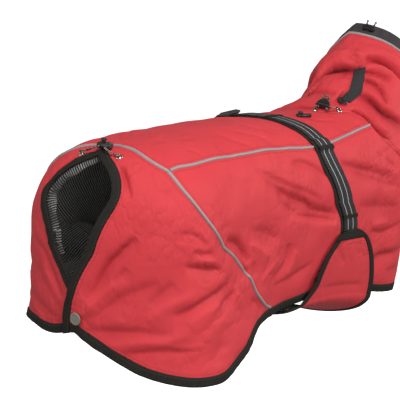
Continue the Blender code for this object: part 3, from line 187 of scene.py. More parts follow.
# creases as they lie on the right side, in thousandths: along and drop of the start, the middle and
# the end, half width, height (a trough is negative)
CREASES = np.array([
    # hip, below and behind the slanted seam
    (78, 926, 49, 1082, 21, 1536, 6.5, -4.8), (67, 1113, 60, 1190, 51, 1268, 6, -2),
    (63, 1202, 36, 1440, 12, 1742, 8, 2.2), (102, 1202, 62, 1382, 15, 1794, 10, -2.8),
    (118, 1199, 104, 1290, 92, 1399, 8, -2), (142, 1282, 107, 1396, 90, 1528, 9, 2),
    (204, 1310, 160, 1352, 116, 1455, 7, -4.6), (185, 1422, 154, 1442, 134, 1528, 9, 2.4),
    (219, 1416, 191, 1448, 165, 1496, 7, -3), (16, 1877, 70, 1665, 116, 1600, 9, -3.2),
    (35, 1940, 80, 1730, 125, 1640, 8, 1.8), (60, 1900, 98, 1760, 135, 1735, 7, -3),
    (111, 1680, 125, 1660, 140, 1637, 6, -1.2), (127, 1845, 145, 1777, 186, 1742, 10, -1.4),
    (124, 907, 140, 910, 161, 973, 5, -2.2), (140, 990, 155, 998, 169, 1005, 4, -2.4),
    (130, 1072, 156, 1110, 188, 1170, 6, -3.8), (150, 1040, 162, 1055, 176, 1080, 4, 1.4),
    (50, 440, 62, 530, 72, 700, 4.5, -4.2), (109, 675, 118, 649, 129, 638, 6, -1.2),
    (229, 1540, 226, 1480, 222, 1420, 5, 1.6), (259, 1634, 276, 1740, 289, 1866, 8, -3),
    # fine ones over the back
    (191, 318, 201, 350, 208, 452, 3.5, -1.3), (249, 298, 250, 400, 264, 500, 3.5, -1.3),
    (280, 212, 290, 340, 317, 466, 4, -1.6), (305, 169, 335, 320, 366, 455, 4, -1.5),
    (346, 166, 370, 275, 385, 355, 4, -1.2), (192, 109, 212, 200, 236, 220, 5, -1),
    (239, 89, 245, 140, 252, 197, 4, -1), (22, 183, 50, 190, 81, 183, 4, -1),
    (132, 117, 165, 150, 190, 192, 5, -1), (343, 412, 362, 470, 381, 509, 4, -1.2),
    # side, between the slanted seam and the belt
    (293, 647, 345, 800, 440, 975, 4.5, -2.4), (330, 850, 395, 960, 475, 1125, 10, -6.2),
    (305, 758, 330, 813, 356, 884, 6, -2.6), (337, 916, 395, 1050, 472, 1190, 5, -3),
    (360, 990, 418, 1136, 478, 1240, 8, 2.6), (376, 675, 408, 690, 452, 830, 6, -3.2),
    (256, 987, 290, 1060, 331, 1199, 12, -3), (188, 921, 200, 928, 212, 936, 5, -1.2),
    (202, 984, 230, 1050, 256, 1270, 8, -4.8), (244, 1262, 250, 1320, 256, 1376, 5, -3.4),
    (258, 1110, 284, 1230, 304, 1345, 8, 3), (357, 1280, 352, 1480, 319, 1602, 8, -3.2),
    (334, 1393, 309, 1474, 287, 1562, 5, 1.8), (420, 1591, 378, 1655, 325, 1690, 5, -2.2),
    (267, 1296, 269, 1380, 271, 1468, 6, -1.6), (376, 1382, 368, 1500, 357, 1625, 7, 1.6),
    (233, 635, 255, 710, 275, 801, 12, -1.4),
    # side and chest, in front of the belt
    (494, 753, 545, 835, 631, 956, 9, -5.2), (524, 841, 570, 924, 639, 981, 4, -2.2),
    (532, 1090, 585, 1130, 640, 1145, 14, -3.6), (565, 1370, 602, 1382, 655, 1310, 7, -3),
    (578, 1675, 610, 1620, 680, 1590, 8, -4.4), (617, 1791, 650, 1780, 690, 1768, 6, -1.6),
    (560, 655, 565, 675, 570, 698, 3, -1), (537, 675, 546, 712, 555, 755, 3, -1),
    (587, 741, 593, 765, 599, 790, 4, -1.6), (608, 807, 617, 838, 626, 870, 5, -1.8),
    (567, 1308, 590, 1295, 614, 1279, 7, 1.8), (526, 349, 538, 450, 549, 506, 3.5, -1.4),
    (505, 215, 522, 270, 541, 312, 4, -1.4), (570, 380, 573, 430, 573, 484, 4, -1.2),
    (690, 1050, 740, 1200, 800, 1220, 10, -3), (700, 1450, 750, 1500, 805, 1460, 10, -2.4),
    (660, 1250, 700, 1400, 720, 1650, 9, -2.2),
]) / 1000
LARGE_CREASE = 0.0028         # what is deeper or higher also bends the belt and other strips
LEAN = 0.35                   # how much steeper a crease is on its upper side
CRISPNESS = 1.35              # power by which a crease falls off; a round bell has 2
CREASE_HEIGHTENED = 1.25      # by which every crease stands out more than the table says
LEFT_MOVED = (0.007, 0.05)    # along and drop by which the left side's creases lie elsewhere
LEFT_SOFTER, RUMP_SOFTER, RUMP_END = 0.85, 0.45, 0.1
LAP_ENDS, LAP_FADES = (0.046, 1.12), (0.024, 0.25)        # along and drop of the lap under the tail
BACK_SEAM = [(0.123, 0.487), (0.142, 0.463), (0.190, 0.466), (0.263, 0.497), (0.374, 0.533),
             (0.442, 0.571), (0.487, 0.553), (0.536, 0.514), (0.599, 0.488)]
HIP_SEAM_TOP = [(0.0, 0.228), (0.032, 0.230), (0.073, 0.280), (0.110, 0.431), (0.123, 0.487)]
HIP_SEAM_LOW = [(0.123, 0.487), (0.139, 0.670), (0.175, 0.924), (0.214, 1.104), (0.254, 1.388),
                (0.276, 1.642), (0.300, 1.820), (0.332, 1.930)]
NECK_SEAM_BACK = [(0.538, 0.0), (0.538, 0.100), (0.553, 0.207), (0.576, 0.274), (0.592, 0.330),
                  (0.598, 0.400), (0.599, 0.488)]
NECK_SEAM_FRONT = [(0.599, 0.488), (0.603, 0.588), (0.618, 0.680), (0.645, 0.800), (0.680, 0.890),
                   (0.745, 0.965), (GIRTH, 0.990)]
BINDING_WIDTH = 0.011
HALF_GAP, CORNER_GAP = SEAM_GAP / 2, 0.0004
HIP_TOP_STEPS, HIP_LOW_STEPS = 56, 100
BACK_STEPS = 190


def smooth(knots, rows, at):
    """Values at the places 'at' of a cubic curve through the rows, with each slope taken from the
    two neighbours."""
    rows = np.asarray(rows, float)
    slope = np.empty_like(rows)
    slope[1:-1] = (rows[2:] - rows[:-2]) / (knots[2:] - knots[:-2])[:, None]
    slope[0] = (rows[1] - rows[0]) / (knots[1] - knots[0])
    slope[-1] = (rows[-1] - rows[-2]) / (knots[-1] - knots[-2])
    at = np.clip(at, knots[0], knots[-1])
    k = np.clip(np.searchsorted(knots, at, side="right") - 1, 0, len(knots) - 2)
    h = (knots[k + 1] - knots[k])[..., None]
    t = (at - knots[k])[..., None] / h
    ends = rows[k] * (2 * t**3 - 3 * t**2 + 1) + rows[k + 1] * (3 * t**2 - 2 * t**3)
    return ends + h * (slope[k] * (t**3 - 2 * t**2 + t) + slope[k + 1] * (t**3 - t**2))


def distances(points):
    """Distance run along a line of places, from 0."""
    return np.concatenate([[0], np.cumsum(np.linalg.norm(np.diff(points, axis=0), axis=1))])


def ease(t):
    """0 below 0, 1 above 1, with a soft start and end."""
    t = np.clip(t, 0, 1)
    return t * t * (3 - 2 * t)


def unit(v):
    """The vectors at length 1."""
    return v / np.maximum(np.linalg.norm(v, axis=-1, keepdims=True), 1e-12)


def base(along, drop, side):
    """The plain surface: above the widest place a quarter of a superellipse, below it a line that
    leans to the lower edge's half width with the square of the drop."""
    along, drop = np.broadcast_arrays(np.asarray(along, float), np.asarray(drop, float))
    side = side * np.where((along < 0) | (along > GIRTH), -1.0, 1.0)
    at = GIRTH - np.abs(GIRTH - np.abs(along))
    axis_x, turn = np.interp(at, KNOTS, AXIS_X), np.interp(at, KNOTS, TURN)
    row = smooth(KNOTS, SHAPE, at)
    reach, top, wide, hem_right, hem_left, hem_reach = [row[..., i] for i in range(6)]
    hem = np.where(side < 0, hem_right, hem_left)
    arc = np.clip(drop, 0, 1) * np.pi / 2
    low = np.clip(drop - 1, 0, None)
    out = reach * np.sin(arc) ** (2 / ROUNDNESS) + (hem_reach - reach) * low**2
    z = wide + (top - wide) * np.cos(arc) ** (2 / ROUNDNESS) + (hem - wide) * low
    return np.stack([axis_x + out * np.sin(turn), side * out * np.cos(turn), z], -1)


def steps(along, drop, side, small=0.002):
    """How the surface runs along and down, as central differences."""
    drop = np.clip(drop, 0.012, None)
    d_along = base(along + small, drop, side) - base(along - small, drop, side)
    d_drop = base(along, drop + 0.01, side) - base(along, drop - 0.01, side)
    return d_along / (2 * small), d_drop / 0.02


def normal(along, drop, side):
    """Outward normals of the plain surface, straight up where the outline shrinks to a point."""
    along, drop = np.broadcast_arrays(np.asarray(along, float), np.asarray(drop, float))
    d_along, d_drop = steps(along, drop, side)
    side = np.asarray(side, float)[..., None] if np.ndim(side) else side
    n = side * np.cross(d_along, d_drop)
    flat = np.linalg.norm(d_along, axis=-1, keepdims=True) < 0.02
    return unit(np.where(flat, np.array([0.0, 0.0, 1.0]), unit(n)))


def through(places, count):
    """A smooth curve through a crease's start, middle and end."""
    return smooth(np.array([0, 0.5, 1.0]), np.reshape(places, (3, 2)), np.linspace(0, 1, count))


def crease_lines():
    """Each crease as a curve of places in space, with its half width and height. The left side has
    the right side's creases a little moved and softer, most of all round the rump."""
    lines = []
    for side in (RIGHT, LEFT):
        for index, (*places, half_width, height) in enumerate(CREASES):
            rows, height = through(places, 9), height * CREASE_HEIGHTENED
            if side == LEFT:
                rows = rows + LEFT_MOVED * np.array([np.sin(7.0 * index), np.cos(5.0 * index)])
                height = height * (LEFT_SOFTER if places[2] > RUMP_END else RUMP_SOFTER)
            lines.append((base(*rows.T, side), half_width, height))
    return lines


def one_crease(here, curve, half_width, height, lean, uphill):
    """One crease's height at the places 'here': it falls off with a power of the distance from its
    curve, is steeper on the upper side, and fades out to both ends. 'uphill' gives the way up across
    a stretch of the curve."""
    nearest, share, above = np.full(here.shape[:-1], 9.0), 0.0, 0.0
    for k, (start, end) in enumerate(zip(curve[:-1], curve[1:])):
        run = end - start
        t = np.clip((here - start) @ run / (run @ run), 0, 1)
        gap = here - start - t[..., None] * run
        away = np.linalg.norm(gap, axis=-1)
        better = away < nearest
        upper = np.tanh((gap * uphill(run)).sum(-1) / (0.5 * half_width))
        nearest = np.where(better, away, nearest)
        share = np.where(better, (k + t) / (len(curve) - 1), share)
        above = np.where(better, upper, above)
    fade = (4 * share * (1 - share)) ** 0.5 * 0.9 + 0.1
    return height * fade * np.exp(-(nearest / (half_width * (1 - lean * above))) ** CRISPNESS)


def crease_height(points, n, lines):
    """Sum of the creases, each worked out only round its own curve."""
    flat, flat_n = points.reshape(-1, 3), n.reshape(-1, 3)
    total = np.zeros(len(flat))
    for curve, half_width, height in lines:
        margin = 3 * half_width
        inside = np.all((flat > curve.min(0) - margin) & (flat < curve.max(0) + margin), axis=1)
        here_n = flat_n[inside]

        def uphill(run):
            up = np.cross(here_n, np.broadcast_to(run, here_n.shape))
            return unit(up * np.sign(up[:, 2:] + 1e-9))

        total[inside] += one_crease(flat[inside], curve, half_width, height, LEAN, uphill)
    return total.reshape(points.shape[:-1])


LINES = crease_lines()
LARGE_LINES = [line for line in LINES if abs(line[2]) >= LARGE_CREASE]
SMALL_LINES = [line for line in LINES if abs(line[2]) < LARGE_CREASE]


def ripple(points):
    """A slight unevenness: three slanted sine waves, 40 to 90 mm long, that beat together."""
    x, y, z = np.moveaxis(points, -1, 0)
    waves = (np.sin(70 * x + 90 * z + 2) + np.sin(-110 * x + 60 * z + 40 * y)
             + np.sin(45 * x - 130 * z + 80 * y + 1))
    return 0.00035 * waves


def coat(along, drop, side, lift=0.0, fine=False):
    """Places on the worn surface and its normals, with the large creases and the lap under the
    tail. With fine, the small creases and the unevenness too."""
    points, n = base(along, drop, side), normal(along, drop, side)
    lap = np.where(np.asarray(side) < 0, LAP_RIGHT, LAP_LEFT)
    lap = lap * ease((LAP_ENDS[0] - along) / LAP_FADES[0])
    lap = lap * ease((np.asarray(drop) - LAP_ENDS[1]) / LAP_FADES[1])
    out = crease_height(points, n, LARGE_LINES) + lap + lift
    if fine:
        out = out + crease_height(points, n, SMALL_LINES) + ripple(points)
    return points + n * out[..., None], n


def line_through(rows, count, side):
    """A smooth line through the rows on the surface, as 'count' even stretches."""
    rows = np.asarray(rows, float)
    knots = distances(rows * (1, 0.1))
    fine = smooth(knots, rows, np.linspace(0, knots[-1], 1200))
    return respaced(fine, count, side)


def respaced(line, count, side):
    """The same line with its places an even distance apart on the surface."""
    run = distances(base(*line.T, side))
    even = np.linspace(0, run[-1], count + 1)
    return np.stack([np.interp(even, run, line[:, 0]), np.interp(even, run, line[:, 1])], -1)


def shifted(line, side, distance):
    """The line moved sideways on the surface: towards the front of a line that runs down, or
    upwards from a line that runs to the front."""
    d_along, d_drop = steps(*line.T, side)
    points = base(*line.T, side)
    n = normal(*line.T, side)
    way = unit(np.cross(unit(np.gradient(points, axis=0)), n)) * side
    g11, g12, g22 = [(a * b).sum(-1) for a, b in ((d_along,) * 2, (d_along, d_drop), (d_drop,) * 2)]
    r1, r2 = (d_along * way).sum(-1), (d_drop * way).sum(-1)
    det = g11 * g22 - g12**2
    move = np.stack([(g22 * r1 - g12 * r2) / det, (g11 * r2 - g12 * r1) / det], -1)
    return line + distance * move


def inner_drop(side, along):
    """Drop of the lower edge's binding at its upper side."""
    spread = np.linspace(-0.03, GIRTH + 0.002, 500)
    line = shifted(np.stack([spread, np.full_like(spread, 2.0)], -1), side, BINDING_WIDTH)
    line = line[np.argsort(line[:, 0])]
    return np.interp(along, line[:, 0], line[:, 1])


def cut_at_hem(line, side):
    """The part of a downward line that ends on the binding's upper side."""
    over = line[:, 1] - inner_drop(side, line[:, 0])
    last = int(np.argmax(over > 0)) if (over > 0).any() else len(line) - 1
    share = over[last - 1] / (over[last - 1] - over[last]) if over[last] > 0 else 1.0
    end = line[last - 1] + (line[last] - line[last - 1]) * share
    return np.vstack([line[:last], end])


def hip_seam(side):
    """The slanted seam from over the tail down to the lower edge's binding."""
    top = line_through(HIP_SEAM_TOP, HIP_TOP_STEPS, side)
    low = line_through(HIP_SEAM_LOW, 400, side)
    low = respaced(cut_at_hem(low, side), HIP_LOW_STEPS, side)
    return np.vstack([top, low[1:]])


def located(x, y):
    """(along, drop, side) of a place on the upper half, from its position seen from above."""
    side = np.where(y > 0, LEFT, RIGHT)
    rear = x < REAR_AXIS
    turn = np.where(rear, -np.arctan2(REAR_AXIS - x, np.abs(y)), 0.0)
    fan_end = np.searchsorted(TURN, 0.0)
    along = np.where(rear, np.interp(turn, TURN[:fan_end + 1], KNOTS[:fan_end + 1]),
                     np.interp(x, AXIS_X[fan_end:-3], KNOTS[fan_end:-3]))
    out = np.where(rear, np.hypot(x - REAR_AXIS, y), np.abs(y))
    reach = smooth(KNOTS, SHAPE, along)[..., 0]
    drop = np.arcsin(np.clip(out / reach, 0, 1) ** (ROUNDNESS / 2)) * 2 / np.pi
    return along, drop, side


def back_grid():
    """Places between the two back seams, from the hip seams above the tail to the neck, laid out
    seen from above and then found on the surface."""
    edges = {}
    for side in (RIGHT, LEFT):
        edges[side] = shifted(line_through(BACK_SEAM, BACK_STEPS, side), side, HALF_GAP)
    half = HIP_TOP_STEPS
    neck = line_through(NECK_SEAM_BACK, half, RIGHT)
    neck = shifted(neck, RIGHT, -2 * SEAM_GAP)[::-1]
    neck[-1] = (NECK_SEAM_BACK[0][0] - 2 * SEAM_GAP, 0.0)
    neck[0] = edges[RIGHT][-1] - (CORNER_GAP, 0)
    rear = shifted(hip_seam(RIGHT)[:half + 1], RIGHT, HALF_GAP)[::-1]
    rear[-1, 0] = 0.0
    for side in (RIGHT, LEFT):
        edges[side][0] = rear[0]
        edges[side][-1] = neck[0]
    right_end, left_end = [base(*e.T, s) for s, e in edges.items()]
    rear, front = [np.vstack([p, p[-2::-1] * (1, -1, 1)]) for p in
                   [base(*line.T, RIGHT) for line in (rear, neck)]]
    share = ((front[:, 1] - front[0, 1]) / (front[-1, 1] - front[0, 1]))[None, :, None]
    plan = right_end[:, None] * (1 - share) + left_end[:, None] * share
    forward = np.linspace(0, 1, len(plan))[:, None, None]
    plan += forward**4 * (front - plan[-1:]) + np.clip(1 - 3 * forward, 0, 1) * (rear - plan[:1])
    along, drop, side = located(plan[..., 0], plan[..., 1])
    for column, s in ((0, RIGHT), (-1, LEFT)):
        along[:, column], drop[:, column] = edges[s].T
        side[:, column] = s
    return along, drop, side


def arc_lengths(points, axis):
    """Distance run along one direction of a grid."""
    step = np.linalg.norm(np.diff(points, axis=axis), axis=-1)
    pad = [(0, 0), (0, 0)]
    pad[axis] = (1, 0)
    return np.cumsum(np.pad(step, pad), axis=axis)


class Value:
    """A number that changes over a surface. Arithmetic on it adds Math nodes."""

    def __init__(self, finish, socket):
        self.finish, self.socket = finish, socket

    def math(self, operation, *others):
        sockets = dict(enumerate([self, *others]))
        node = self.finish.node("ShaderNodeMath", {"operation": operation}, sockets)
        return Value(self.finish, node.outputs[0])

    def __add__(self, other):
        return self.math("ADD", other)

    def __sub__(self, other):
        return self.math("SUBTRACT", other)

    def __rsub__(self, other):
        return self * -1.0 + other

    def __mul__(self, other):
        return self.math("MULTIPLY", other)

    def __lt__(self, other):
        return self.math("LESS_THAN", other)

    def __gt__(self, other):
        return self.math("GREATER_THAN", other)

    __radd__, __rmul__ = __add__, __mul__

    def sine(self, length):
        """A sine wave of that length, from -1 to 1."""
        return (self * (2 * np.pi / length)).math("SINE")

    def saw(self, length):
        """Runs from 0 to 1 over each length."""
        return (self * (1 / length)).math("FRACT")

    def clamped(self):
        node = self.finish.node("ShaderNodeClamp", {}, {0: self})
        return Value(self.finish, node.outputs[0])


class Finish:
    """A material: a Principled shader whose plain values are given, and the nodes that vary it."""

    def __init__(self, name, colour, roughness, **plain):
        self.material = bpy.data.materials.new(name)
        self.material.use_nodes = True
        self.tree = self.material.node_tree
        self.shader = self.tree.nodes["Principled BSDF"]
        self.shader.inputs["Base Color"].default_value = (*colour, 1)
        self.shader.inputs["Roughness"].default_value = roughness
        for word, value in plain.items():
            socket = word.replace("_", " ").title().replace("Ior", "IOR")
            self.shader.inputs[socket].default_value = value

    def node(self, kind, settings, sockets):
        """Adds a node, with its settings first and then the values or links of its sockets."""
        made = self.tree.nodes.new(kind)
        for word, value in settings.items():
            setattr(made, word, value)
        for key, value in sockets.items():
            if isinstance(value, Value):
                self.tree.links.new(value.socket, made.inputs[key])
            else:
                made.inputs[key].default_value = value
        return made

    def cloth_place(self):
        """Metres across and along the cloth, from the piece's own map."""
        place = self.node("ShaderNodeUVMap", {"uv_map": "cloth"}, {})
        split = self.node("ShaderNodeSeparateXYZ", {}, {0: Value(self, place.outputs[0])})
        return Value(self, split.outputs[0]), Value(self, split.outputs[1])

    def mark(self, name):
        """A value that the mesh carries for each of its points."""
        carried = self.node("ShaderNodeAttribute", {"attribute_name": name}, {})
        return Value(self, carried.outputs["Fac"])

    def noise(self, scale, detail=3.0, stretch=(1, 1, 1)):
        """Cloudy noise in space, 0 to 1, with 'scale' patches to the metre."""
        place = self.node("ShaderNodeTexCoord", {}, {})
        spread = self.node("ShaderNodeMapping", {}, {0: Value(self, place.outputs["Object"]), 3: stretch})
        made = self.node("ShaderNodeTexNoise", {}, {"Vector": Value(self, spread.outputs[0]),
                                                    "Scale": scale, "Detail": detail})
        return Value(self, made.outputs[0])

    def crumple(self, scale, stretch):
        """Sharp folds where a cloudy noise passes through its middle, from 0 on the line to 1
        beside it, in patches."""
        line = ((self.noise(scale, 2.0, stretch) - 0.5).math("ABSOLUTE") * 7.0).clamped()
        patch = ((self.noise(scale / 3, 1.0) - 0.44) * 7.0).clamped()
        return (line - 1.0) * patch + 1.0

    def blend(self, share, first, second):
        """A colour between two, each a colour or a link."""
        ends = [c if isinstance(c, Value) else (*c, 1) for c in (first, second)]
        made = self.node("ShaderNodeMix", {"data_type": "RGBA"}, {0: share, 6: ends[0], 7: ends[1]})
        return Value(self, made.outputs[2])

    def vary(self, word, value):
        """Links a value to one of the shader's own sockets."""
        self.tree.links.new(value.socket, self.shader.inputs[word])

    def relief(self, *layers):
        """Bump layers of (height from 0 to 1, metres of depth), one upon the other."""
        under = None
        for height, depth in layers:
            sockets = {"Height": height, "Distance": depth, "Strength": 1.0}
            if under is not None:
                sockets["Normal"] = under
            under = Value(self, self.node("ShaderNodeBump", {}, sockets).outputs[0])
        self.vary("Normal", under)


def shell_cloth():
    """Tightly woven matt red outer cloth: a plain weave, crisp little crumples in patches, a slight
    cloud in the dye, painted shade that deepens the red down in the creases and a row of stitches
    beside each seam."""
    made = Finish("shell_cloth", (0.60, 0.045, 0.055), 0.55, specular_ior_level=0.14)
    across, along = made.cloth_place()
    weave = across.sine(0.0009) * along.sine(0.0009) * 0.5 + 0.5
    crumple = (made.crumple(15.0, (1, 1, 1.8)), 0.0011)
    small = (made.crumple(38.0, (1.6, 1.6, 1)), 0.0008)
    cloud = made.noise(9.0, 2.0)
    # painted shade: the mesh's shade mark, taken from each crease's depth, darkens the red in the troughs
    crease_shade = made.mark("shade")
    colour = made.blend(cloud, (0.555, 0.0385, 0.0475), (0.635, 0.052, 0.062))
    colour = made.blend(crease_shade.clamped() * 0.6, colour, (0.30, 0.010, 0.017))
    colour = made.blend((crease_shade - 1.0).clamped() * 0.9, colour, (0.07, 0.002, 0.005))
    seam, run = made.mark("seam"), made.mark("run")
    row = (seam - 0.0052).math("ABSOLUTE") < 0.00035
    stitch = row * (run.saw(0.0030) < 0.62)
    colour = made.blend(stitch * 0.5, colour, (0.30, 0.014, 0.020))
    made.vary("Base Color", colour)
    made.vary("Roughness", made.noise(60.0, 2.0) * 0.14 + 0.48)
    made.relief(crumple, small, (weave, 0.00006), (stitch, -0.00025))
    return made.material


def lining():
    """Grey knitted lining: pale ribs with painted shade darkening the valleys between them, and a brushed
    nap.
    """
    made = Finish("lining", (0.20, 0.195, 0.185), 0.9, sheen_weight=0.1)
    along = made.cloth_place()[1]
    ribs = ((along + made.noise(70.0, 2.0) * 0.0012).sine(0.0036) * 0.9 + 0.5).clamped()
    nap = made.noise(700.0, 2.0)
    # painted shade: the colour falls nearly to black in the valleys between the ribs
    made.vary("Base Color", made.blend(ribs * (nap * 0.5 + 0.6), (0.020, 0.0195, 0.0185),
                                       (0.34, 0.33, 0.315)))
    made.relief((ribs, 0.0007), (nap, 0.0003))
    return made.material


SHELL_CLOTH, LINING = shell_cloth(), lining()


def placed(name, verts, faces, materials, slot_of=None, marks=None, uv=None, sharp=50.0):
    """An object at the origin from arrays of places and faces, with smooth shading and its map."""
    mesh = bpy.data.meshes.new(name)
    mesh.from_pydata(verts.tolist(), [], [tuple(f) for f in faces])
    for made_of in materials:
        mesh.materials.append(made_of)
    if slot_of is not None:
        mesh.polygons.foreach_set("material_index", np.asarray(slot_of, np.int32))
    for word, values in (marks or {}).items():
        mesh.attributes.new(word, "FLOAT", "POINT").data.foreach_set("value", values.astype(np.float32))
    if uv is not None:
        corners = np.empty(len(mesh.loops), np.int32)
        mesh.loops.foreach_get("vertex_index", corners)
        layer = mesh.uv_layers.new(name="cloth")
        layer.data.foreach_set("uv", uv[corners].astype(np.float32).ravel())
    mesh.shade_smooth()
    mesh.set_sharp_from_angle(angle=np.radians(sharp))
    thing = bpy.data.objects.new(name, mesh)
    bpy.context.scene.collection.objects.link(thing)
    return thing


def dressed(thing, slot, *nodes):
    """Rides with the coat and stands for the part's own nodes. 'slot', the record's finish, is not used."""
    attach(thing, "root")
    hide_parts(*nodes)
    return thing


PUCKER_HIGH, PUCKER_REACH, PUCKER_WAVE, PUCKER_DRIFT = 0.00028, 0.007, 0.0009, 0.013
PUCKER_PATCH, PUCKER_PATCH_EVERY = 0.05, 0.07
ROLL_DOWN, ROLL_REACH = 0.0005, 0.0025


def cloth_wall(name, points, n, crease, thick=CLOTH, materials=(SHELL_CLOTH, LINING), closed=False,
               seams=(True, True, True, True), shade=95.0):
    """A wall on a grid, half its thickness to each side of it, outer cloth outside and lining
    inside. It rolls down and puckers at its seamed edges: first and last row, first and last
    column. A closed grid joins its last row to its first. It carries a mark for painted shade
    that darkens its colour with the depth of a crease times 'shade'."""
    run_rows, run_columns = arc_lengths(points, 0), arc_lengths(points, 1)
    runs = run_rows, run_rows[-1:] - run_rows, run_columns, run_columns[:, -1:] - run_columns
    gaps = np.stack([gap if sewn else np.ones_like(gap) for gap, sewn in zip(runs, seams)])
    seam = gaps.min(0)
    run = np.where(gaps.argmin(0) < 2, run_columns, run_rows)
    pucker = np.sin(run / PUCKER_WAVE + 2.5 * np.sin(run / PUCKER_DRIFT))
    pucker *= np.exp(-(seam / PUCKER_REACH) ** 2 - (run % PUCKER_PATCH_EVERY / PUCKER_PATCH) ** 4)
    sink = PUCKER_HIGH * pucker - ROLL_DOWN * np.exp(-(seam / ROLL_REACH) ** 2)
    points = points + n * sink[..., None]
    rows, columns = points.shape[:2]
    total = rows * columns
    verts = np.concatenate([(points + n * way * thick / 2).reshape(-1, 3) for way in (1, -1)])
    corner = np.arange(total).reshape(rows, columns)
    ring = np.vstack([corner, corner[:1]]) if closed else corner
    quads = np.stack([ring[:-1, :-1], ring[1:, :-1], ring[1:, 1:], ring[:-1, 1:]], -1).reshape(-1, 4)
    edges = [ring[:, 0], ring[:, -1][::-1]] + ([] if closed else [corner[0][::-1], corner[-1]])
    rims = [np.stack([e[1:], e[:-1], e[:-1] + total, e[1:] + total], -1) for e in edges]
    first, second = points[1, 0] - points[0, 0], points[0, 1] - points[0, 0]
    flip = np.cross(first, second) @ n[0, 0] < 0
    faces = np.concatenate([quads, quads[:, ::-1] + total, *rims])
    if flip:
        faces = faces[:, ::-1]
    slot_of = np.zeros(len(faces))
    slot_of[len(quads):2 * len(quads)] = 1
    # painted shade: how far each point's colour is darkened, from the depth of its crease
    marks = {"shade": np.tile(-shade * crease.ravel(), 2), "seam": np.tile(seam.ravel(), 2),
             "run": np.tile(run.ravel(), 2)}
    uv = np.tile(np.stack([run_columns.ravel(), run_rows.ravel()], -1), (2, 1))
    return placed(name, verts, faces, materials, slot_of, marks, uv)


LEAST_FILLED = 0.31        # of the rectangle that a panel is cut from


def cut(points):
    """Works out the cloth's cut: the longest run each way over its grid, and the area of its quads; nothing
    is done with it.
    A panel that narrows to a corner is cut across its rectangle's length more than once."""
    wide, long = arc_lengths(points, 1)[:, -1].max(), arc_lengths(points, 0)[-1].max()
    a, b, c, d = points[:-1, :-1], points[1:, :-1], points[1:, 1:], points[:-1, 1:]
    halves = np.cross(b - a, d - a), np.cross(b - c, d - c)
    area = sum(np.linalg.norm(half, axis=-1).sum() for half in halves) / 2
    long = np.clip(long, area / wide, area / (LEAST_FILLED * wide))


def shell_panel(name, along, drop, side, node, held, rests_on):
    """A panel of the coat's shell on a grid of places on its surface."""
    points, n = coat(along, drop, side, fine=True)
    crease = ((points - base(along, drop, side)) * n).sum(-1)
    panel = dressed(cloth_wall(name, points, n, crease), "red_shell_cloth", node)
    cut(points)


shell_panel("back_cloth", *back_grid(), "back_panel", "draped", [])


# ---- side panels ------------------------------------------------------------------------------
# One on each side, from the back seam down to the lower edge and from the slanted hip seam round
# to the middle of the chest, where the two are sewn together. Same cloth and lining.
FRONT_STEPS = 110
HEM_TUCK = 0.010          # how far a panel goes into the lower edge's binding, as a share of drop


def side_grid(side):
    """Rows from the top edge straight down to the binding, bent at the rear to the slanted seam."""
    seam = hip_seam(side)[HIP_TOP_STEPS:]
    rear = shifted(seam, side, HALF_GAP)
    back = shifted(line_through(BACK_SEAM, BACK_STEPS, side), side, -HALF_GAP)
    neck = shifted(line_through(NECK_SEAM_FRONT, FRONT_STEPS, side), side, -2 * SEAM_GAP)
    neck[0] = back[-1] - (CORNER_GAP, 0)
    neck[-1, 0] = CHEST_END
    top = np.vstack([back[:-1], neck])
    top[0] = rear[0]
    along = np.linspace(rear[-1, 0], CHEST_END, len(top))
    hem = np.stack([along, inner_drop(side, along) + HEM_TUCK], -1)
    rear[-1] = hem[0]
    u = np.linspace(0, 1, len(top))[:, None, None]
    v = np.linspace(0, 1, len(rear))[None, :, None]
    grid = top[:, None] * (1 - v) + hem[:, None] * v
    grid = grid + (1 - u) ** 4 * (rear[None] - grid[:1])
    return grid[..., 0], grid[..., 1]


for side, word in SIDES:
    shell_panel(f"side_cloth_{word}", *side_grid(side), side, f"side_panel_{word}", "hung", ["back_cloth"])

# ---- hip panels -------------------------------------------------------------------------------
# One over each thigh, behind the slanted seam. They meet over the tail's root, leave its opening
# free, and the right one laps over the left one under the tail.
HIP_COLUMNS = 130
TAPE_TUCK = 0.0012            # how far a panel goes into a folded tape
TAPE_START, HIP_START = 0.0006, 0.0008        # along, beside the middle over the tail
TAIL_EDGE_RIGHT = [(0.0, 0.318), (0.012, 0.350), (0.024, 0.398), (0.042, 0.487), (0.051, 0.584),
                   (0.053, 0.677), (0.049, 0.747), (0.039, 0.844), (0.030, 0.939), (0.023, 1.020),
                   (0.009, 1.253), (-0.009, 1.723), (-0.013, 2.0)]
TAIL_EDGE_LEFT = [(0.0, 0.318), (0.014, 0.350), (0.030, 0.400), (0.051, 0.507), (0.063, 0.620),
                  (0.067, 0.697), (0.064, 0.783), (0.056, 0.853), (0.045, 0.930), (0.028, 1.107),
                  (0.012, 1.367), (-0.004, 1.640), (-0.010, 2.0)]


def tail_edges(side):
    """Outer and inner edge of the tail opening's binding, down to the hem."""
    middle = line_through(TAIL_EDGE_RIGHT if side < 0 else TAIL_EDGE_LEFT, 400, side)
    whole = shifted(middle, side, BINDING_WIDTH / 2)
    inner = respaced(cut_at_hem(whole, side), HIP_TOP_STEPS + HIP_LOW_STEPS, side)
    inner = np.vstack([inner, whole[-1]])
    inner[-1, 1] = 2.0
    outer = shifted(inner, side, -BINDING_WIDTH)
    outer[-1, 1] = 2.0
    for line in (outer, inner):
        line[:, 0] = np.where(line[:, 1] < 0.5, np.maximum(line[:, 0], TAPE_START), line[:, 0])
    inner[0, 0] = outer[0, 0] = TAPE_START
    return outer, inner


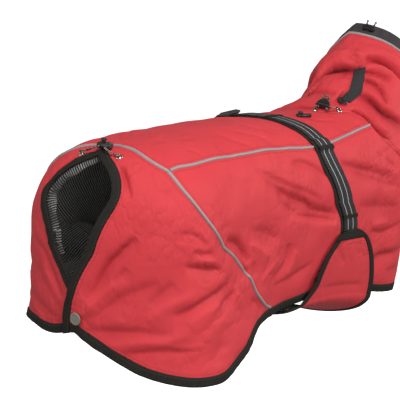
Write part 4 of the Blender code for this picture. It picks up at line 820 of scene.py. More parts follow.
def hip_grid(side):
    """Rows from the tail's binding to the slanted seam, the last ones bent to the lower edge."""
    seam = hip_seam(side)
    rear = shifted(tail_edges(side)[1][:-1], side, -TAPE_TUCK)
    rear[0, 0] = HIP_START
    front = shifted(seam, side, -HALF_GAP)
    front[0] = (HIP_START, seam[0, 1] + 0.004)
    along = np.linspace(rear[-1, 0], front[-1, 0], HIP_COLUMNS + 1)
    hem = np.stack([along, inner_drop(side, along) + HEM_TUCK], -1)
    front[-1] = hem[-1]
    rear[-1] = hem[0]
    u = np.linspace(0, 1, HIP_COLUMNS + 1)[None, :, None]
    v = np.linspace(0, 1, len(rear))[:, None, None]
    grid = rear[:, None] * (1 - u) + front[:, None] * u
    grid = grid + v**4 * (hem[None] - grid[-1:])
    return grid[..., 0], grid[..., 1]


for side, word in SIDES:
    shell_panel(f"hip_cloth_{word}", *hip_grid(side), side, f"hip_panel_{word}", "hung", ["back_cloth"])

# ---- pipings ----------------------------------------------------------------------------------
# Grey reflective cord in its own tape, caught in the slanted hip seams and the two back seams: a
# half round, 4 mm wide, that stands 2 mm proud.
PIPING_WIDTH, PIPING_HIGH, PIPING_SUNK = 0.0042, 0.0018, 0.0006
ROUND_STEPS = 9


def body(rings, closed=False):
    """Mesh of rings of points along a path, with its ends filled. Its map runs round and along it,
    in metres. The sign of the volume it encloses tells which way its faces look."""
    count, sides = rings.shape[:2]
    around = np.linalg.norm(np.diff(rings[:, [*range(sides), 0]], axis=1), axis=-1)
    around = np.cumsum(np.pad(around, ((0, 0), (1, 0))), axis=1)[:, :sides]
    run = distances(rings.mean(1))
    uv = np.stack([around, np.broadcast_to(run[:, None], around.shape)], -1).reshape(-1, 2)
    corner = np.arange(count * sides).reshape(count, sides)
    ring = np.vstack([corner, corner[:1]]) if closed else corner
    after = np.roll(ring, -1, 1)
    quads = np.stack([ring[:-1], ring[1:], after[1:], after[:-1]], -1).reshape(-1, 4)
    verts = rings.reshape(-1, 3)
    a, b, c, d = np.moveaxis(verts[quads] - verts.mean(0), 1, 0)
    volume = (np.cross(b, c) * a).sum() + (np.cross(c, d) * a).sum()
    faces = [tuple(q) for q in quads]
    if not closed:
        faces += [tuple(corner[0]), tuple(corner[-1][::-1])]
    if volume < 0:
        faces = [f[::-1] for f in faces]
    return verts, faces, uv


def tube(name, rings, materials, closed=False, sharp=50.0):
    """A body as an object of its own."""
    verts, faces, uv = body(rings, closed)
    return placed(name, verts, faces, materials, uv=uv, sharp=sharp)


def reflective():
    """Grey reflective tape: fine glass beads and faint cross ribs."""
    made = Finish("reflective_piping", (0.40, 0.355, 0.350), 0.38)
    beads = made.noise(2600.0, 1.0)
    along = made.cloth_place()[1]
    ribs = along.sine(0.0016) * 0.5 + 0.5
    made.vary("Base Color", made.blend(beads, (0.225, 0.190, 0.190), (0.38, 0.325, 0.325)))
    made.vary("Roughness", made.noise(200.0, 2.0) * 0.2 + 0.3)
    made.relief((ribs, 0.00008), (beads, 0.00006))
    return made.material


REFLECTIVE = reflective()


def piping(name, points, n, across, node, closed=False):
    """Half rings of a slightly squared round over the seam's places, sunk into the cloth."""
    angle = np.linspace(0, np.pi, ROUND_STEPS)
    out, up = np.cos(angle) * PIPING_WIDTH / 2, np.sin(angle) ** 0.8 * (PIPING_HIGH + PIPING_SUNK)
    rings = points[:, None] + across[:, None] * out[:, None] + n[:, None] * up[:, None]
    return dressed(tube(name, rings, [REFLECTIVE], closed), "reflective_piping", node)


def seam_piping(name, line, side, node):
    """Piping on the creased surface."""
    points, n = coat(*line.T, side, CLOTH / 2 - PIPING_SUNK, fine=True)
    piping(name, points, n, unit(np.cross(unit(np.gradient(points, axis=0)), n)), node)


for side, word in SIDES:
    seam = hip_seam(side)[4:-2]
    seam_piping(f"hip_cord_{word}", seam, side, f"hip_piping_{word}")
    seam = line_through(BACK_SEAM, 2 * BACK_STEPS, side)[2:-2]
    seam_piping(f"back_cord_{word}", seam, side, f"back_piping_{word}")

# ---- edge bindings ----------------------------------------------------------------------------
# Black grosgrain tape, 11 mm wide, folded over the cloth's edge and sewn through near its inner
# side: round the tail opening, down the lap and along the whole lower edge.
BINDING_THICK = 0.0032
BINDING_SHARES = np.array([0.0, 0.05, 0.16, 0.34, 0.5, 0.66, 0.84, 0.95, 1.0])
BINDING_SWELL = np.array([0.45, 0.86, 1.0, 1.0, 0.97, 1.0, 1.0, 0.86, 0.45])


def strip(name, points, n, half, materials, closed=False):
    """A flat body on a grid of points, with a half thickness for each column: the upper row of
    each ring and back along the lower one."""
    half = np.asarray(half)[None, :, None]
    rings = np.concatenate([points + n * half, (points - n * half)[:, ::-1]], axis=1)
    return tube(name, rings, materials, closed, sharp=60.0)


def binding_tape():
    """Black grosgrain: fine ribs across the tape, lint with a painted brownish sheen laid in the same
    random patches, and a row of stitches near one side."""
    made = Finish("binding_tape", (0.016, 0.015, 0.013), 0.8, specular_ior_level=0.12)
    across, along = made.cloth_place()
    ribs = along.sine(0.0011) * 0.5 + 0.5
    lint_and_sheen = made.noise(420.0, 4.0)
    # lint and painted sheen: the brownish cast that stands for light on the tape, in random patches
    colour = made.blend(lint_and_sheen, (0.0075, 0.0072, 0.006), (0.030, 0.027, 0.022))
    row = (across - 0.0088).math("ABSOLUTE") < 0.0004
    stitch = row * (along.saw(0.0032) < 0.6)
    colour = made.blend(stitch * 0.6, colour, (0.060, 0.056, 0.050))
    made.vary("Base Color", colour)
    made.vary("Roughness", lint_and_sheen * 0.25 + 0.62)
    made.relief((made.noise(260.0, 3.0), 0.0003), (ribs, 0.0001), (stitch, 0.0002))
    return made.material


BINDING_TAPE = binding_tape()


def bound(name, points, n, node):
    """A binding on a grid of points, whose columns run across the tape."""
    tape = strip(name, points, n, BINDING_SWELL * BINDING_THICK / 2, [BINDING_TAPE])
    dressed(tape, "black_binding_tape", node)


BINDING_WAVE = 0.00022        # how far the sewn tape waves up and down


def binding(name, first, second, side, node):
    """Tape between two lines on the surface that have as many places each, slightly waved."""
    ends = [coat(*line.T, side, fine=True) for line in (first, second)]
    share = BINDING_SHARES[None, :, None]
    points = ends[0][0][:, None] * (1 - share) + ends[1][0][:, None] * share
    n = unit(ends[0][1][:, None] * (1 - share) + ends[1][1][:, None] * share)
    run = arc_lengths(points, 0)[..., None]
    points = points + n * BINDING_WAVE * np.sin(run / 0.0031 + 3 * np.sin(run / 0.021))
    bound(name, points, n, node)


HEM_STEPS = 420
for side, word in SIDES:
    outer, inner = tail_edges(side)
    binding(f"tail_tape_{word}", outer, inner, side, f"tail_binding_{word}")
    along = np.linspace(inner[-3:, 0].max() + 2 * SEAM_GAP, CHEST_END, HEM_STEPS)
    upper = np.stack([along, inner_drop(side, along)], -1)
    lower = np.stack([along, np.full_like(along, 2.0)], -1)
    binding(f"hem_tape_{word}", lower, upper, side, f"hem_binding_{word}")

# ---- tail facing ------------------------------------------------------------------------------
# A strip of ribbed lining behind each edge of the tail opening. The left one rolls out past its
# binding and shows; the right one lies flat behind the hip panel.
FACING_THICK, RIB_LENGTH, RIB_HIGH = 0.0012, 0.0030, 0.00035
FACING_DROPS = (0.36, 1.10)
FACING_EDGES = {LEFT: (0.0020, -0.0085), RIGHT: (-0.0010, 0.0150)}       # from the binding's edge
FACING_BEHIND = BINDING_THICK / 2 + SEAM_GAP + 0.0012


def facing_knit():
    """Grey knit whose ribs run across the facing, grey on the ribs that is darker and paler in random
    patches, with painted shade dark between them.
    """
    made = Finish("facing_knit", (0.16, 0.155, 0.145), 0.9, specular_ior_level=0.15)
    along = made.cloth_place()[1]
    ribs = ((along + made.noise(90.0, 2.0) * 0.0016).sine(RIB_LENGTH) * 0.8 + 0.45).clamped()
    patch = ((made.noise(45.0, 2.0) - 0.42) * 5.0).clamped()
    pale = made.blend(patch, (0.085, 0.082, 0.078), (0.27, 0.26, 0.245))
    # painted shade: near black between the ribs
    made.vary("Base Color", made.blend(ribs, (0.016, 0.0155, 0.015), pale))
    made.relief((ribs, 0.0006), (made.noise(700.0, 2.0), 0.0003))
    return made.material


FACING_KNIT = facing_knit()


def facing(side, word):
    """Columns from the binding inwards, narrower to both ends, ribbed across."""
    outer, inner = tail_edges(side)
    line = outer if side == LEFT else inner
    line = respaced(line[(line[:, 1] > FACING_DROPS[0]) & (line[:, 1] < FACING_DROPS[1])], 240, side)
    near, far = FACING_EDGES[side]
    shares = np.linspace(0, 1, 9)
    down = np.linspace(0, 1, len(line))
    reach = 0.25 + 0.75 * ease(down / 0.25) * ease((1 - down) / 0.55)
    reach *= 1 + 0.16 * np.sin(17 * down) + 0.1 * np.sin(41 * down)
    grids = [coat(*shifted(line, side, near + (far - near) * (s * reach)[:, None]).T, side,
                  -FACING_BEHIND * (1 + 1.4 * s**1.5)) for s in shares]
    points, n = [np.stack(v, 1) for v in zip(*grids)]
    run = arc_lengths(points, 0)[..., None]
    points = points + n * RIB_HIGH * np.sin(2 * np.pi * run / RIB_LENGTH)
    half = np.full(len(shares), FACING_THICK / 2)
    return dressed(strip(f"facing_{word}", points, n, half, [FACING_KNIT]), "ribbed_lining",
                   f"tail_facing_{word}")


for side, word in SIDES:
    facing(side, word)

# ---- belly flap -------------------------------------------------------------------------------
# A wide tongue of the same cloth, bound on three edges. It starts at the left lower edge, hangs
# under the belly and comes up outside the right side panel to the belt that it fastens to.
# share of the way from the top edge to the left lower edge, the rear and the front edge there
FLAP_EDGES = np.array([
    (0.000, 0.496, 0.522),
    (0.022, 0.478, 0.538),
    (0.060, 0.466, 0.554),
    (0.125, 0.447, 0.567),
    (0.200, 0.435, 0.576),
    (0.270, 0.426, 0.581),
    (0.340, 0.404, 0.582),
    (0.420, 0.380, 0.573),
    (0.550, 0.370, 0.562),
    (0.750, 0.376, 0.560),
    (1.000, 0.396, 0.560),
])
FLAP_TOP_DROP, FLAP_HEM_SHARE, FLAP_LIFT = 1.300, 0.34, 0.0060
FLAP_SAG = ((0.400, 0.015), (0.570, 0.037))      # along, and how far it hangs there
FLAP_ROWS, FLAP_COLUMNS = 190, 44
FLAP_TOP_TAPE, FLAP_FROM, FLAP_TO = 0.050, 0.052, 0.985         # shares of its length
FLAP_CREASES = [
    # share and width of both ends, half width, height
    (0.04, 0.15, 0.17, 0.42, 0.006, -0.0028),
    (0.05, 0.05, 0.22, 0.24, 0.004, 0.0014),
    (0.285, 0.15, 0.300, 0.85, 0.006, -0.0016),
    (0.45, 0.10, 0.60, 0.60, 0.009, -0.0022),
    (0.70, 0.80, 0.88, 0.30, 0.009, -0.0022),
]


def flap_points(share, along):
    """Down the right side outside the side panel, then round under the belly to the left edge,
    on a half ellipse that hangs by the sag."""
    drop = FLAP_TOP_DROP + (2.0 - FLAP_TOP_DROP) * np.clip(share / FLAP_HEM_SHARE, 0, 1)
    side_points = coat(along, drop, RIGHT, FLAP_LIFT)[0]
    under = np.clip((share - FLAP_HEM_SHARE) / (1 - FLAP_HEM_SHARE), 0, 1)
    start = coat(along, np.full_like(along, 2.0), RIGHT, FLAP_LIFT)[0]
    end = coat(along, np.full_like(along, 2.0), LEFT, 0.0)[0] - np.array([0, 0, 0.0024])
    turn = under * np.pi
    middle, reach = (start + end) / 2, (start[..., 1] - end[..., 1]) / 2
    sag = np.interp(along, *np.transpose(FLAP_SAG)) * np.sin(turn) ** 0.8
    low = np.stack([middle[..., 0], middle[..., 1] + reach * np.cos(turn),
                    start[..., 2] + (end[..., 2] - start[..., 2]) * under - sag], -1)
    return np.where((share < FLAP_HEM_SHARE)[..., None], side_points, low)


def flap_surface(share, width):
    """Points and outward normals at shares of the length and of the width."""
    share, width = np.broadcast_arrays(share, width)
    edges = smooth(FLAP_EDGES[:, 0], FLAP_EDGES[:, 1:], share)
    along = edges[..., 0] + (edges[..., 1] - edges[..., 0]) * width
    here = flap_points(share, along)
    step = 0.006
    before, after = [flap_points(np.clip(share + way * step, 0, 1), along) for way in (-1, 1)]
    d_share, d_along = after - before, flap_points(share, along + step) - flap_points(share, along - step)
    n = unit(np.cross(d_along, d_share))
    axis = np.stack([here[..., 0], 0 * here[..., 0], 0 * here[..., 0] - 0.12], -1)
    return here, n * np.sign((n * (here - axis)).sum(-1, keepdims=True))


share = np.linspace(FLAP_FROM, FLAP_TO, FLAP_ROWS + 1)
edges = smooth(FLAP_EDGES[:, 0], FLAP_EDGES[:, 1:], share)
trim = (BINDING_WIDTH - TAPE_TUCK) / (edges[:, 1] - edges[:, 0])
width = trim[:, None] + (1 - 2 * trim)[:, None] * np.linspace(0, 1, FLAP_COLUMNS + 1)[None]
points, n = flap_surface(share[:, None], width)
lines = []
for s0, w0, s1, w1, half_width, height in FLAP_CREASES:
    curve = flap_surface(np.linspace(s0, s1, 9), np.linspace(w0, w1, 9))[0]
    lines.append((curve, half_width, height))
crease = crease_height(points, n, lines)
points = points + n * crease[..., None]
flap = dressed(cloth_wall("flap_cloth", points, n, crease), "red_shell_cloth", "belly_flap")
cut(points)
for word, edge in (("rear", 0), ("front", 1)):
    far = edge + (1 - 2 * edge) * BINDING_WIDTH / (edges[:, 1] - edges[:, 0])
    shares = BINDING_SHARES[None, :]
    points, n = flap_surface(share[:, None], edge * (1 - shares) + far[:, None] * shares)
    bound(f"flap_tape_{word}", points, n, f"flap_binding_{word}")
across = np.linspace(0, 1, FLAP_COLUMNS + 1)[:, None]
points, n = flap_surface(FLAP_TOP_TAPE * BINDING_SHARES[None, :], across)
bound("flap_tape_top", points, n, "flap_binding_top")

# ---- belt -------------------------------------------------------------------------------------
# Black webbing, 30 mm wide, with two woven reflective lines, over a thinner wider tape. It runs
# from the belly flap over the back to a buckle on the left and on down to the left lower edge.
BELT_RIGHT = [(0.432, 0.0), (0.437, 0.110), (0.4435, 0.220), (0.456, 0.390), (0.462, 0.545),
              (0.467, 0.725), (0.480, 0.870), (0.493, 0.995), (0.507, 1.190), (0.510, 1.420)]
BELT_LEFT = [(0.432, 0.0), (0.438, 0.150), (0.444, 0.300), (0.450, 0.460), (0.460, 0.700),
             (0.472, 1.100), (0.480, 1.550), (0.482, 1.960)]
BELT_WIDTH, BELT_THICK, UNDERLAY_THICK, LOOP_THICK = 0.030, 0.0014, 0.0008, 0.0008
BELT_LINE = 0.0062        # of each reflective line from the middle
BELT_SLANT = 0.9          # cosine of the belt's usual slant, which widens it along the outline
UNDERLAY_SHIFT = -0.0060
UNDERLAY_LIFT = CLOTH / 2 + SEAM_GAP + UNDERLAY_THICK / 2
BELT_LIFT = UNDERLAY_LIFT + UNDERLAY_THICK / 2 + SEAM_GAP + BELT_THICK / 2
LOOP_LIFT, LOOP_WIDER = BELT_LIFT + BELT_THICK / 2 + 0.0006, 0.002
BUCKLE_FROM, BUCKLE_TO = 0.215, 0.460
LOOP_DROPS = (0.115, 0.600, 1.165)
PIPING_CROSSING, HUMP_REACH = 0.568, 0.035
TAPE_SHARES = np.array([-0.5, -0.485, -0.42, -0.2, 0.0, 0.2, 0.42, 0.485, 0.5])
TAPE_SWELL = np.array([0.45, 0.9, 1.0, 1.0, 1.0, 1.0, 1.0, 0.9, 0.45])


def webbing(name, lined):
    """Black woven webbing: slanted ribs and, where it is lined, two grey reflective lines, each a
    close row of stitches with a band of painted shade either side for a groove."""
    made = Finish(name, (0.022, 0.021, 0.021), 0.7, specular_ior_level=0.2)
    across, along = made.cloth_place()
    ribs = (along + across * 0.6).sine(0.0018) * across.sine(0.0021) * 0.5 + 0.5
    colour = made.blend(made.noise(500.0, 2.0), (0.012, 0.0115, 0.0115), (0.040, 0.037, 0.037))
    if lined:
        off = ((across - BELT_WIDTH / 2).math("ABSOLUTE") - BELT_LINE).math("ABSOLUTE")
        thread = (off < 0.0007) * (along.sine(0.0021) * 0.15 + 0.85)
        # painted shade: a darker band either side of each line, for a groove that is not modelled
        colour = made.blend((off < 0.0015) * 0.7, colour, (0.008, 0.008, 0.008))
        colour = made.blend(thread.clamped(), colour, (0.52, 0.51, 0.51))
    made.vary("Base Color", colour)
    made.vary("Roughness", made.noise(120.0, 2.0) * 0.2 + 0.58)
    made.relief((ribs, 0.00018))
    return made.material


BELT_WEBBING, STRAP_WEBBING = webbing("belt_webbing", True), webbing("strap_webbing", False)


def belt_middle():
    """The belt's centre line from the flap on the right, over the back, to the left lower edge."""
    right = line_through(BELT_RIGHT, 180, RIGHT)[::-1]
    left = line_through(BELT_LEFT, 240, LEFT)[1:]
    sides = np.concatenate([np.full(len(right), RIGHT), np.full(len(left), LEFT)])
    return np.vstack([right, left]), sides


def tape(name, stretch, width, thick, lift, made_of, slot, node, shift=0.0):
    """A flat tape along the belt's line, humped where it goes over the piped back seams."""
    middle, sides = belt_middle()
    middle, sides = middle[stretch], sides[stretch]
    along = middle[:, :1] + (shift + width * TAPE_SHARES) / BELT_SLANT
    drop = np.broadcast_to(np.clip(middle[:, 1:], 0.0, None), along.shape)
    hump = (PIPING_HIGH + 2 * SEAM_GAP) * ease(2.2 - np.abs(drop - PIPING_CROSSING) / HUMP_REACH)
    points, n = coat(along, drop, sides[:, None], lift + hump)
    return dressed(strip(name, points, n, TAPE_SWELL * thick / 2, [made_of]), slot, node)


middle, sides = belt_middle()
left_drop = np.where(sides == LEFT, middle[:, 1], -1)
first, last = int(np.argmax(left_drop > BUCKLE_FROM)), int(np.argmax(left_drop > BUCKLE_TO))
for name, stretch, node in (("belt_top", slice(0, first), "belt_over_back"),
                            ("belt_down", slice(last, None), "belt_left")):
    tape(name, stretch, BELT_WIDTH, BELT_THICK, BELT_LIFT, BELT_WEBBING, "black_webbing", node)
tape("belt_backing", slice(0, first), BELT_WIDTH, UNDERLAY_THICK, UNDERLAY_LIFT, BINDING_TAPE,
     "black_binding_tape", "belt_underlay", UNDERLAY_SHIFT)
for index, drop in enumerate(LOOP_DROPS, 1):
    at = int(np.argmin(np.abs(np.where(sides == RIGHT, middle[:, 1], 9) - drop)))
    tape(f"belt_keeper_{index}", slice(at - 2, at + 3), BELT_WIDTH + LOOP_WIDER, LOOP_THICK, LOOP_LIFT,
         BINDING_TAPE, "black_webbing", f"belt_loop_{index}")

# ---- collar -----------------------------------------------------------------------------------
# A tall soft funnel of the same cloth, sewn to the neck seam. It slumps back in deep folds, and
# its rim, with a piping, carries a dark grey band that stands up inside the neck.
RIM_TOP, RIM_DOWN = np.array([0.285, 0.0, 0.095]), np.array([0.786, 0.0, -0.618])
RIM_AXIS = np.array([0.618, 0.0, 0.786])
RIM_LONG, RIM_HALF_WIDTH, RIM_SLOUCH = 0.136, 0.068, 0.038
SLUMP = np.array([0.0, -0.014, -0.004])       # how the lower left side sinks in
SLUMP_END = 0.72          # share of the way up above which it doesn't
COLLAR_PULL, RIM_PULL, COLLAR_BULGE = 0.085, 0.055, 0.009
COLLAR_ROWS, COLLAR_BACK_STEPS, COLLAR_SHADE = 100, 42, 210.0
RIM_WAY = np.array([0.80, 0.0, 0.60])         # how the cloth runs into the rim
BAND_WIDTH, BAND_NARROWER, BAND_GAP, GATHER_HIGH = 0.022, 0.10, 0.018, 0.0007
DEGREE, RISE = 0.00125, 0.13              # metres for a degree round the collar, for its height
COLLAR_LEAN = 0.55        # how much steeper the collar's creases are on their upper side
COLLAR_UNITS = (1, 0.01, 1, 0.01, 1, 0.01, 0.001, 0.001)
# degrees round from the middle of the back towards the right, and hundredths of the way up, of the
# start, the middle and the end, then half width and height in millimetres
COLLAR_CREASES = np.array([
    (-24, 44, 4, 56, 38, 56, 6, -13.5), (-24, 55, 4, 67, 36, 67, 9, 7),
    (12, 69, 27, 64, 40, 57, 4.2, -6.2), (34, 67, 56, 68, 84, 65, 6, -10.5),
    (40, 76, 60, 77, 84, 75, 8, 4), (84, 65, 105, 60, 124, 50, 8, -6),
    (40, 60, 60, 63, 84, 58, 4.5, 6.5), (40, 53, 53, 56, 66, 59, 4, -6),
    (44, 46, 56, 45, 68, 37, 4.5, -7.5), (45, 31, 63, 29, 92, 32, 6, -9),
    (43, 7, 56, 4.5, 78, 5, 2.4, -7.5), (43, 13, 58, 11, 80, 12, 4.5, 4.5),
    (92, 32, 108, 30, 126, 22, 8, -6), (-8, 31, 10, 34, 27, 31, 4.2, -4.2),
    (-12, 28, -7, 36, 0, 41, 4, -5), (-8, 12, 4, 10, 14, 15, 3.5, -5),
    (30, 21, 32, 27, 34, 32, 3.6, -4.5), (48, 49, 60, 47, 74, 43, 6, 3.2),
    (49, 34, 54, 35, 59, 34, 3, 1.8), (-12, 42, 4, 48, 20, 51, 5, 2.2),
    (20, 76, 60, 80, 110, 74, 13, 4), (-38, 30, -62, 42, -100, 36, 9, -7),
    (-34, 58, -70, 66, -118, 48, 8.5, -7), (-50, 16, -76, 20, -112, 14, 8, -4.8),
    (-30, 76, -70, 80, -110, 72, 13, 3.6), (134, 30, 160, 42, 190, 36, 10, -5),
    (140, 60, 170, 56, 205, 62, 9, -4.5),
]) * COLLAR_UNITS


def collar_ring():
    """Places of the neck seam all round, from the middle of the back over the right side."""
    back_line = line_through(NECK_SEAM_BACK, COLLAR_BACK_STEPS, RIGHT)
    front_line = line_through(NECK_SEAM_FRONT, FRONT_STEPS // 2, RIGHT)
    half = np.vstack([back_line, front_line[1:]])
    both = np.concatenate([np.full(len(half), RIGHT), np.full(len(half) - 2, LEFT)])
    return np.vstack([half, half[-2:0:-1]]), both


def collar_points():
    """A cubic curve from each place of the neck seam, first along the coat's own slope, to the
    rim, a slanted ellipse that hangs lower on the left. Gives the grid and degrees round it."""
    line, both = collar_ring()
    seam, n = coat(*line.T, both, fine=True)
    way = unit(np.cross(n, unit(np.roll(seam, -1, 0) - np.roll(seam, 1, 0))))
    way *= np.sign(way @ np.array([0.7, 0, 0.7]))[:, None]
    run = np.linalg.norm(np.roll(seam, -1, 0) - seam, axis=1)
    turn = 2 * np.pi * np.concatenate([[0], np.cumsum(run)[:-1]]) / run.sum()
    half = len(seam) // 2
    turn[half + 1:] = 2 * np.pi - turn[half - 1:0:-1]
    turn[half] = np.pi
    turn = turn[:, None]
    rim = RIM_TOP + RIM_DOWN * RIM_LONG / 2 * (1 - np.cos(turn))
    rim = rim + np.array([0, -1, 0]) * RIM_HALF_WIDTH * np.sin(turn)
    left = np.clip(-np.sin(turn), 0, 1)
    rim[:, 2:] -= RIM_SLOUCH * left
    pull = COLLAR_PULL * (0.65 + 0.35 * np.cos(turn))
    t = np.linspace(0, 1, COLLAR_ROWS + 1)[:, None, None]
    rings = (seam * (2 * t**3 - 3 * t**2 + 1) + rim * (3 * t**2 - 2 * t**3)
             + pull * way * (t**3 - 2 * t**2 + t) + RIM_PULL * unit(RIM_WAY) * (t**3 - t**2))
    rings = rings + SLUMP * left**0.5 * np.sin(np.pi * np.clip(t / SLUMP_END, 0, 1)) ** 1.5
    return np.swapaxes(rings, 0, 1), np.degrees(turn[:, 0])


def ring_normals(points):
    """Outward normals of a tube whose first index runs round it."""
    round_it = np.roll(points, -1, 0) - np.roll(points, 1, 0)
    n = unit(np.cross(round_it, np.gradient(points, axis=1)))
    out = points - points.mean(axis=0, keepdims=True)
    return n * np.sign((n * out).sum(-1, keepdims=True))


def collar_crease(turn, level):
    """The same creases as on the body, in degrees and shares turned to metres."""
    here = np.stack([turn * DEGREE, level * RISE, 0 * turn], -1)
    total = np.zeros(turn.shape)
    for *places, half_width, height in COLLAR_CREASES:
        rows = through(places, 13)
        for wrap in (-360, 0, 360):
            curve = np.stack([(rows[:, 0] + wrap) * DEGREE, rows[:, 1] * RISE, 0 * rows[:, 0]], -1)
            total += one_crease(here, curve, half_width, height, COLLAR_LEAN, lambda run: (0, 1, 0))
    return total


points, turn = collar_points()
n = ring_normals(points)
level = np.linspace(0, 1, COLLAR_ROWS + 1)
turn_grid, level_grid = np.broadcast_arrays(turn[:, None], level[None])
crease = collar_crease(turn_grid, level_grid) * ease(level_grid / 0.04) * ease((1 - level_grid) / 0.12)
# a dark jagged crevice where the collar tucks under at the neck seam on the right: the surface
# dips only CREVICE_OPEN of its depth, and the rest of its darkness is painted shade in the colour
CREVICE_DEEP, CREVICE_OPEN, CREVICE_FROM, CREVICE_TO = 0.0058, 0.12, 36, 84
window = ease((turn_grid - CREVICE_FROM) / 8) * ease((CREVICE_TO - turn_grid) / 12)
window = window * (0.75 + 0.25 * np.sin(0.8 * turn_grid))
reach = 0.0024 + 0.0012 * np.sin(1.7 * turn_grid)
crevice_dip_and_shade = CREVICE_DEEP * window * np.exp(-(level_grid * RISE / reach) ** 2)
bulge = COLLAR_BULGE * np.sin(np.pi * level_grid) * np.sin(np.radians(turn_grid)) ** 2
unevenness = bulge + ripple(points) * ease(level_grid / 0.1)
points = points + n * (crease - CREVICE_OPEN * crevice_dip_and_shade + unevenness)[..., None]
n = ring_normals(points)
COLLAR, COLLAR_N = points, n
# painted shade: the crevice depth taken from the crease mark darkens the collar's colour along the neck seam
collar = cloth_wall("collar_cloth", points, n, crease - crevice_dip_and_shade, closed=True,
                    seams=(False, False, True, True), shade=COLLAR_SHADE)
dressed(collar, "red_shell_cloth", "collar_shell_right", "collar_shell_left")
cut(np.concatenate([points, points[:1]]))


def grey_fleece():
    """Dark grey brushed jersey of the band inside the rim."""
    made = Finish("grey_fleece", (0.060, 0.055, 0.057), 0.85, specular_ior_level=0.2)
    cloud = made.noise(40.0, 4.0)
    made.vary("Base Color", made.blend(cloud, (0.028, 0.026, 0.0275), (0.056, 0.051, 0.053)))
    made.relief((made.noise(900.0, 3.0), 0.0004), (made.noise(90.0, 2.0), 0.0008))
    return made.material


GREY_FLEECE = grey_fleece()
rim = points[:, -1]
centre = rim.mean(axis=0)
level = np.linspace(0, 1, 19)
pulls, rises = BAND_NARROWER * level**1.3, BAND_GAP + (1 - BAND_GAP) * level
band_points = (rim[:, None] + RIM_AXIS * BAND_WIDTH * rises[:, None]
               - (rim - centre)[:, None] * pulls[:, None])
round_turn = np.radians(turn)[:, None]
gather = GATHER_HIGH * np.sin(34 * round_turn + 4 * np.sin(3 * round_turn))
band_n = ring_normals(band_points)
band_points = band_points + band_n * (gather * np.sin(np.pi * level) ** 0.5)[..., None]
band = cloth_wall("band_cloth", band_points, band_n, 0 * band_points[..., 0],
                  materials=(GREY_FLEECE, GREY_FLEECE), closed=True, seams=(False, False, True, False))
dressed(band, "dark_grey_band", "collar_band")
cut(np.concatenate([band_points, band_points[:1]]))
low = points[:, -1] + (points[:, -2] - points[:, -1]) * 1.6
across = unit(points[:, -2] - points[:, -1])
piping("rim_cord", low + n[:, -1] * (CLOTH / 2 - PIPING_SUNK), n[:, -1], across, "collar_piping", closed=True)

# ---- keeper strap -----------------------------------------------------------------------------
# A 12 mm webbing strap down the collar, from under its fold to a moulded clip that holds its end.
STRAP_ROWS = [(35.9, 0.590), (38.8, 0.500), (40.3, 0.420), (41.7, 0.340), (40.3, 0.260), (37.4, 0.190)]
STRAP_WIDTH, STRAP_THICK, STRAP_LIFT, STRAP_UNDER = 0.0120, 0.0012, 0.0026, 0.0030
STRAP_PLACES, STRAP_STIFF, STRAP_ROUNDS = 61, 4, 3
COLLAR_TURN = turn


def on_collar(at_turn, at_level, lift=0.0):
    """Places and normals on the collar, between those of its grid."""
    i = np.interp(at_turn, COLLAR_TURN, np.arange(len(COLLAR_TURN)))
    j = np.clip(at_level, 0, 1) * COLLAR_ROWS
    i0, j0 = i.astype(int), np.minimum(j.astype(int), COLLAR_ROWS - 1)
    fi, fj = (i - i0)[..., None], (j - j0)[..., None]
    here, n = [(grid[i0, j0] * (1 - fi) + grid[i0 + 1, j0] * fi) * (1 - fj)
               + (grid[i0, j0 + 1] * (1 - fi) + grid[i0 + 1, j0 + 1] * fi) * fj
               for grid in (COLLAR, COLLAR_N)]
    return here + unit(n) * lift, unit(n)


rows = np.array(STRAP_ROWS)
knots = np.arange(len(rows), dtype=float)
line = smooth(knots, rows, np.linspace(0, knots[-1], STRAP_PLACES))
way = unit(np.gradient(line * (DEGREE, RISE), axis=0))
sideways = np.stack([-way[:, 1] / DEGREE, way[:, 0] / RISE], -1)
grid = line[:, None] + sideways[:, None] * (TAPE_SHARES * STRAP_WIDTH)[None, :, None]
points, n = on_collar(grid[..., 0], grid[..., 1])
for k in range(STRAP_ROUNDS):              # webbing bridges the small hollows under it
    padded = np.pad(points, ((STRAP_STIFF,) * 2, (0, 0), (0, 0)), mode="reflect", reflect_type="odd")
    neighbours = [padded[i:i + len(points)] for i in range(2 * STRAP_STIFF + 1)]
    level_out = sum(neighbours) / len(neighbours)
    points = np.where(((level_out - points) * n).sum(-1, keepdims=True) > 0, level_out, points)
emerge = ease(np.linspace(0.25, 6.5, STRAP_PLACES))[:, None, None]       # from under the fold
points = points + n * (STRAP_LIFT * emerge - STRAP_UNDER * (1 - emerge))
strap = strip("strap", points, n, TAPE_SWELL * STRAP_THICK / 2, [STRAP_WEBBING])
dressed(strap, "black_webbing", "keeper_strap")

# ---- neck drawstring --------------------------------------------------------------------------
# A moulded bell of a lock with a press button, on flecked round cord that comes out of two plated
# eyelets and stands up over the lock in a loop.
CORD_RADIUS, LOOP_RADIUS = 0.0011, 0.0014
MM = 0.001
CRISP = 40.0                  # degrees between faces above which a hard piece's edge is sharp
EYELET = [(2.4, 0), (4.1, 0), (4.3, 0.3), (4.0, 0.8), (3.3, 1.2), (2.7, 1.0), (2.4, 0.6)]
EYELET_LIFT = CLOTH / 2 + 0.0002
NECK_EYELETS = {"right": (33.1, 0.048), "left": (13.0, 0.048)}
NECK_LOCK, NECK_LOCK_LIFT, NECK_HOLE = (18.7, 0.125), 0.0068, 5.6
# share of the way from an eyelet to the lock, and millimetres over the cloth there
NECK_ARCH = [(0.04, 2.4), (0.16, 4.3), (0.40, 4.5), (0.72, 2.2)]


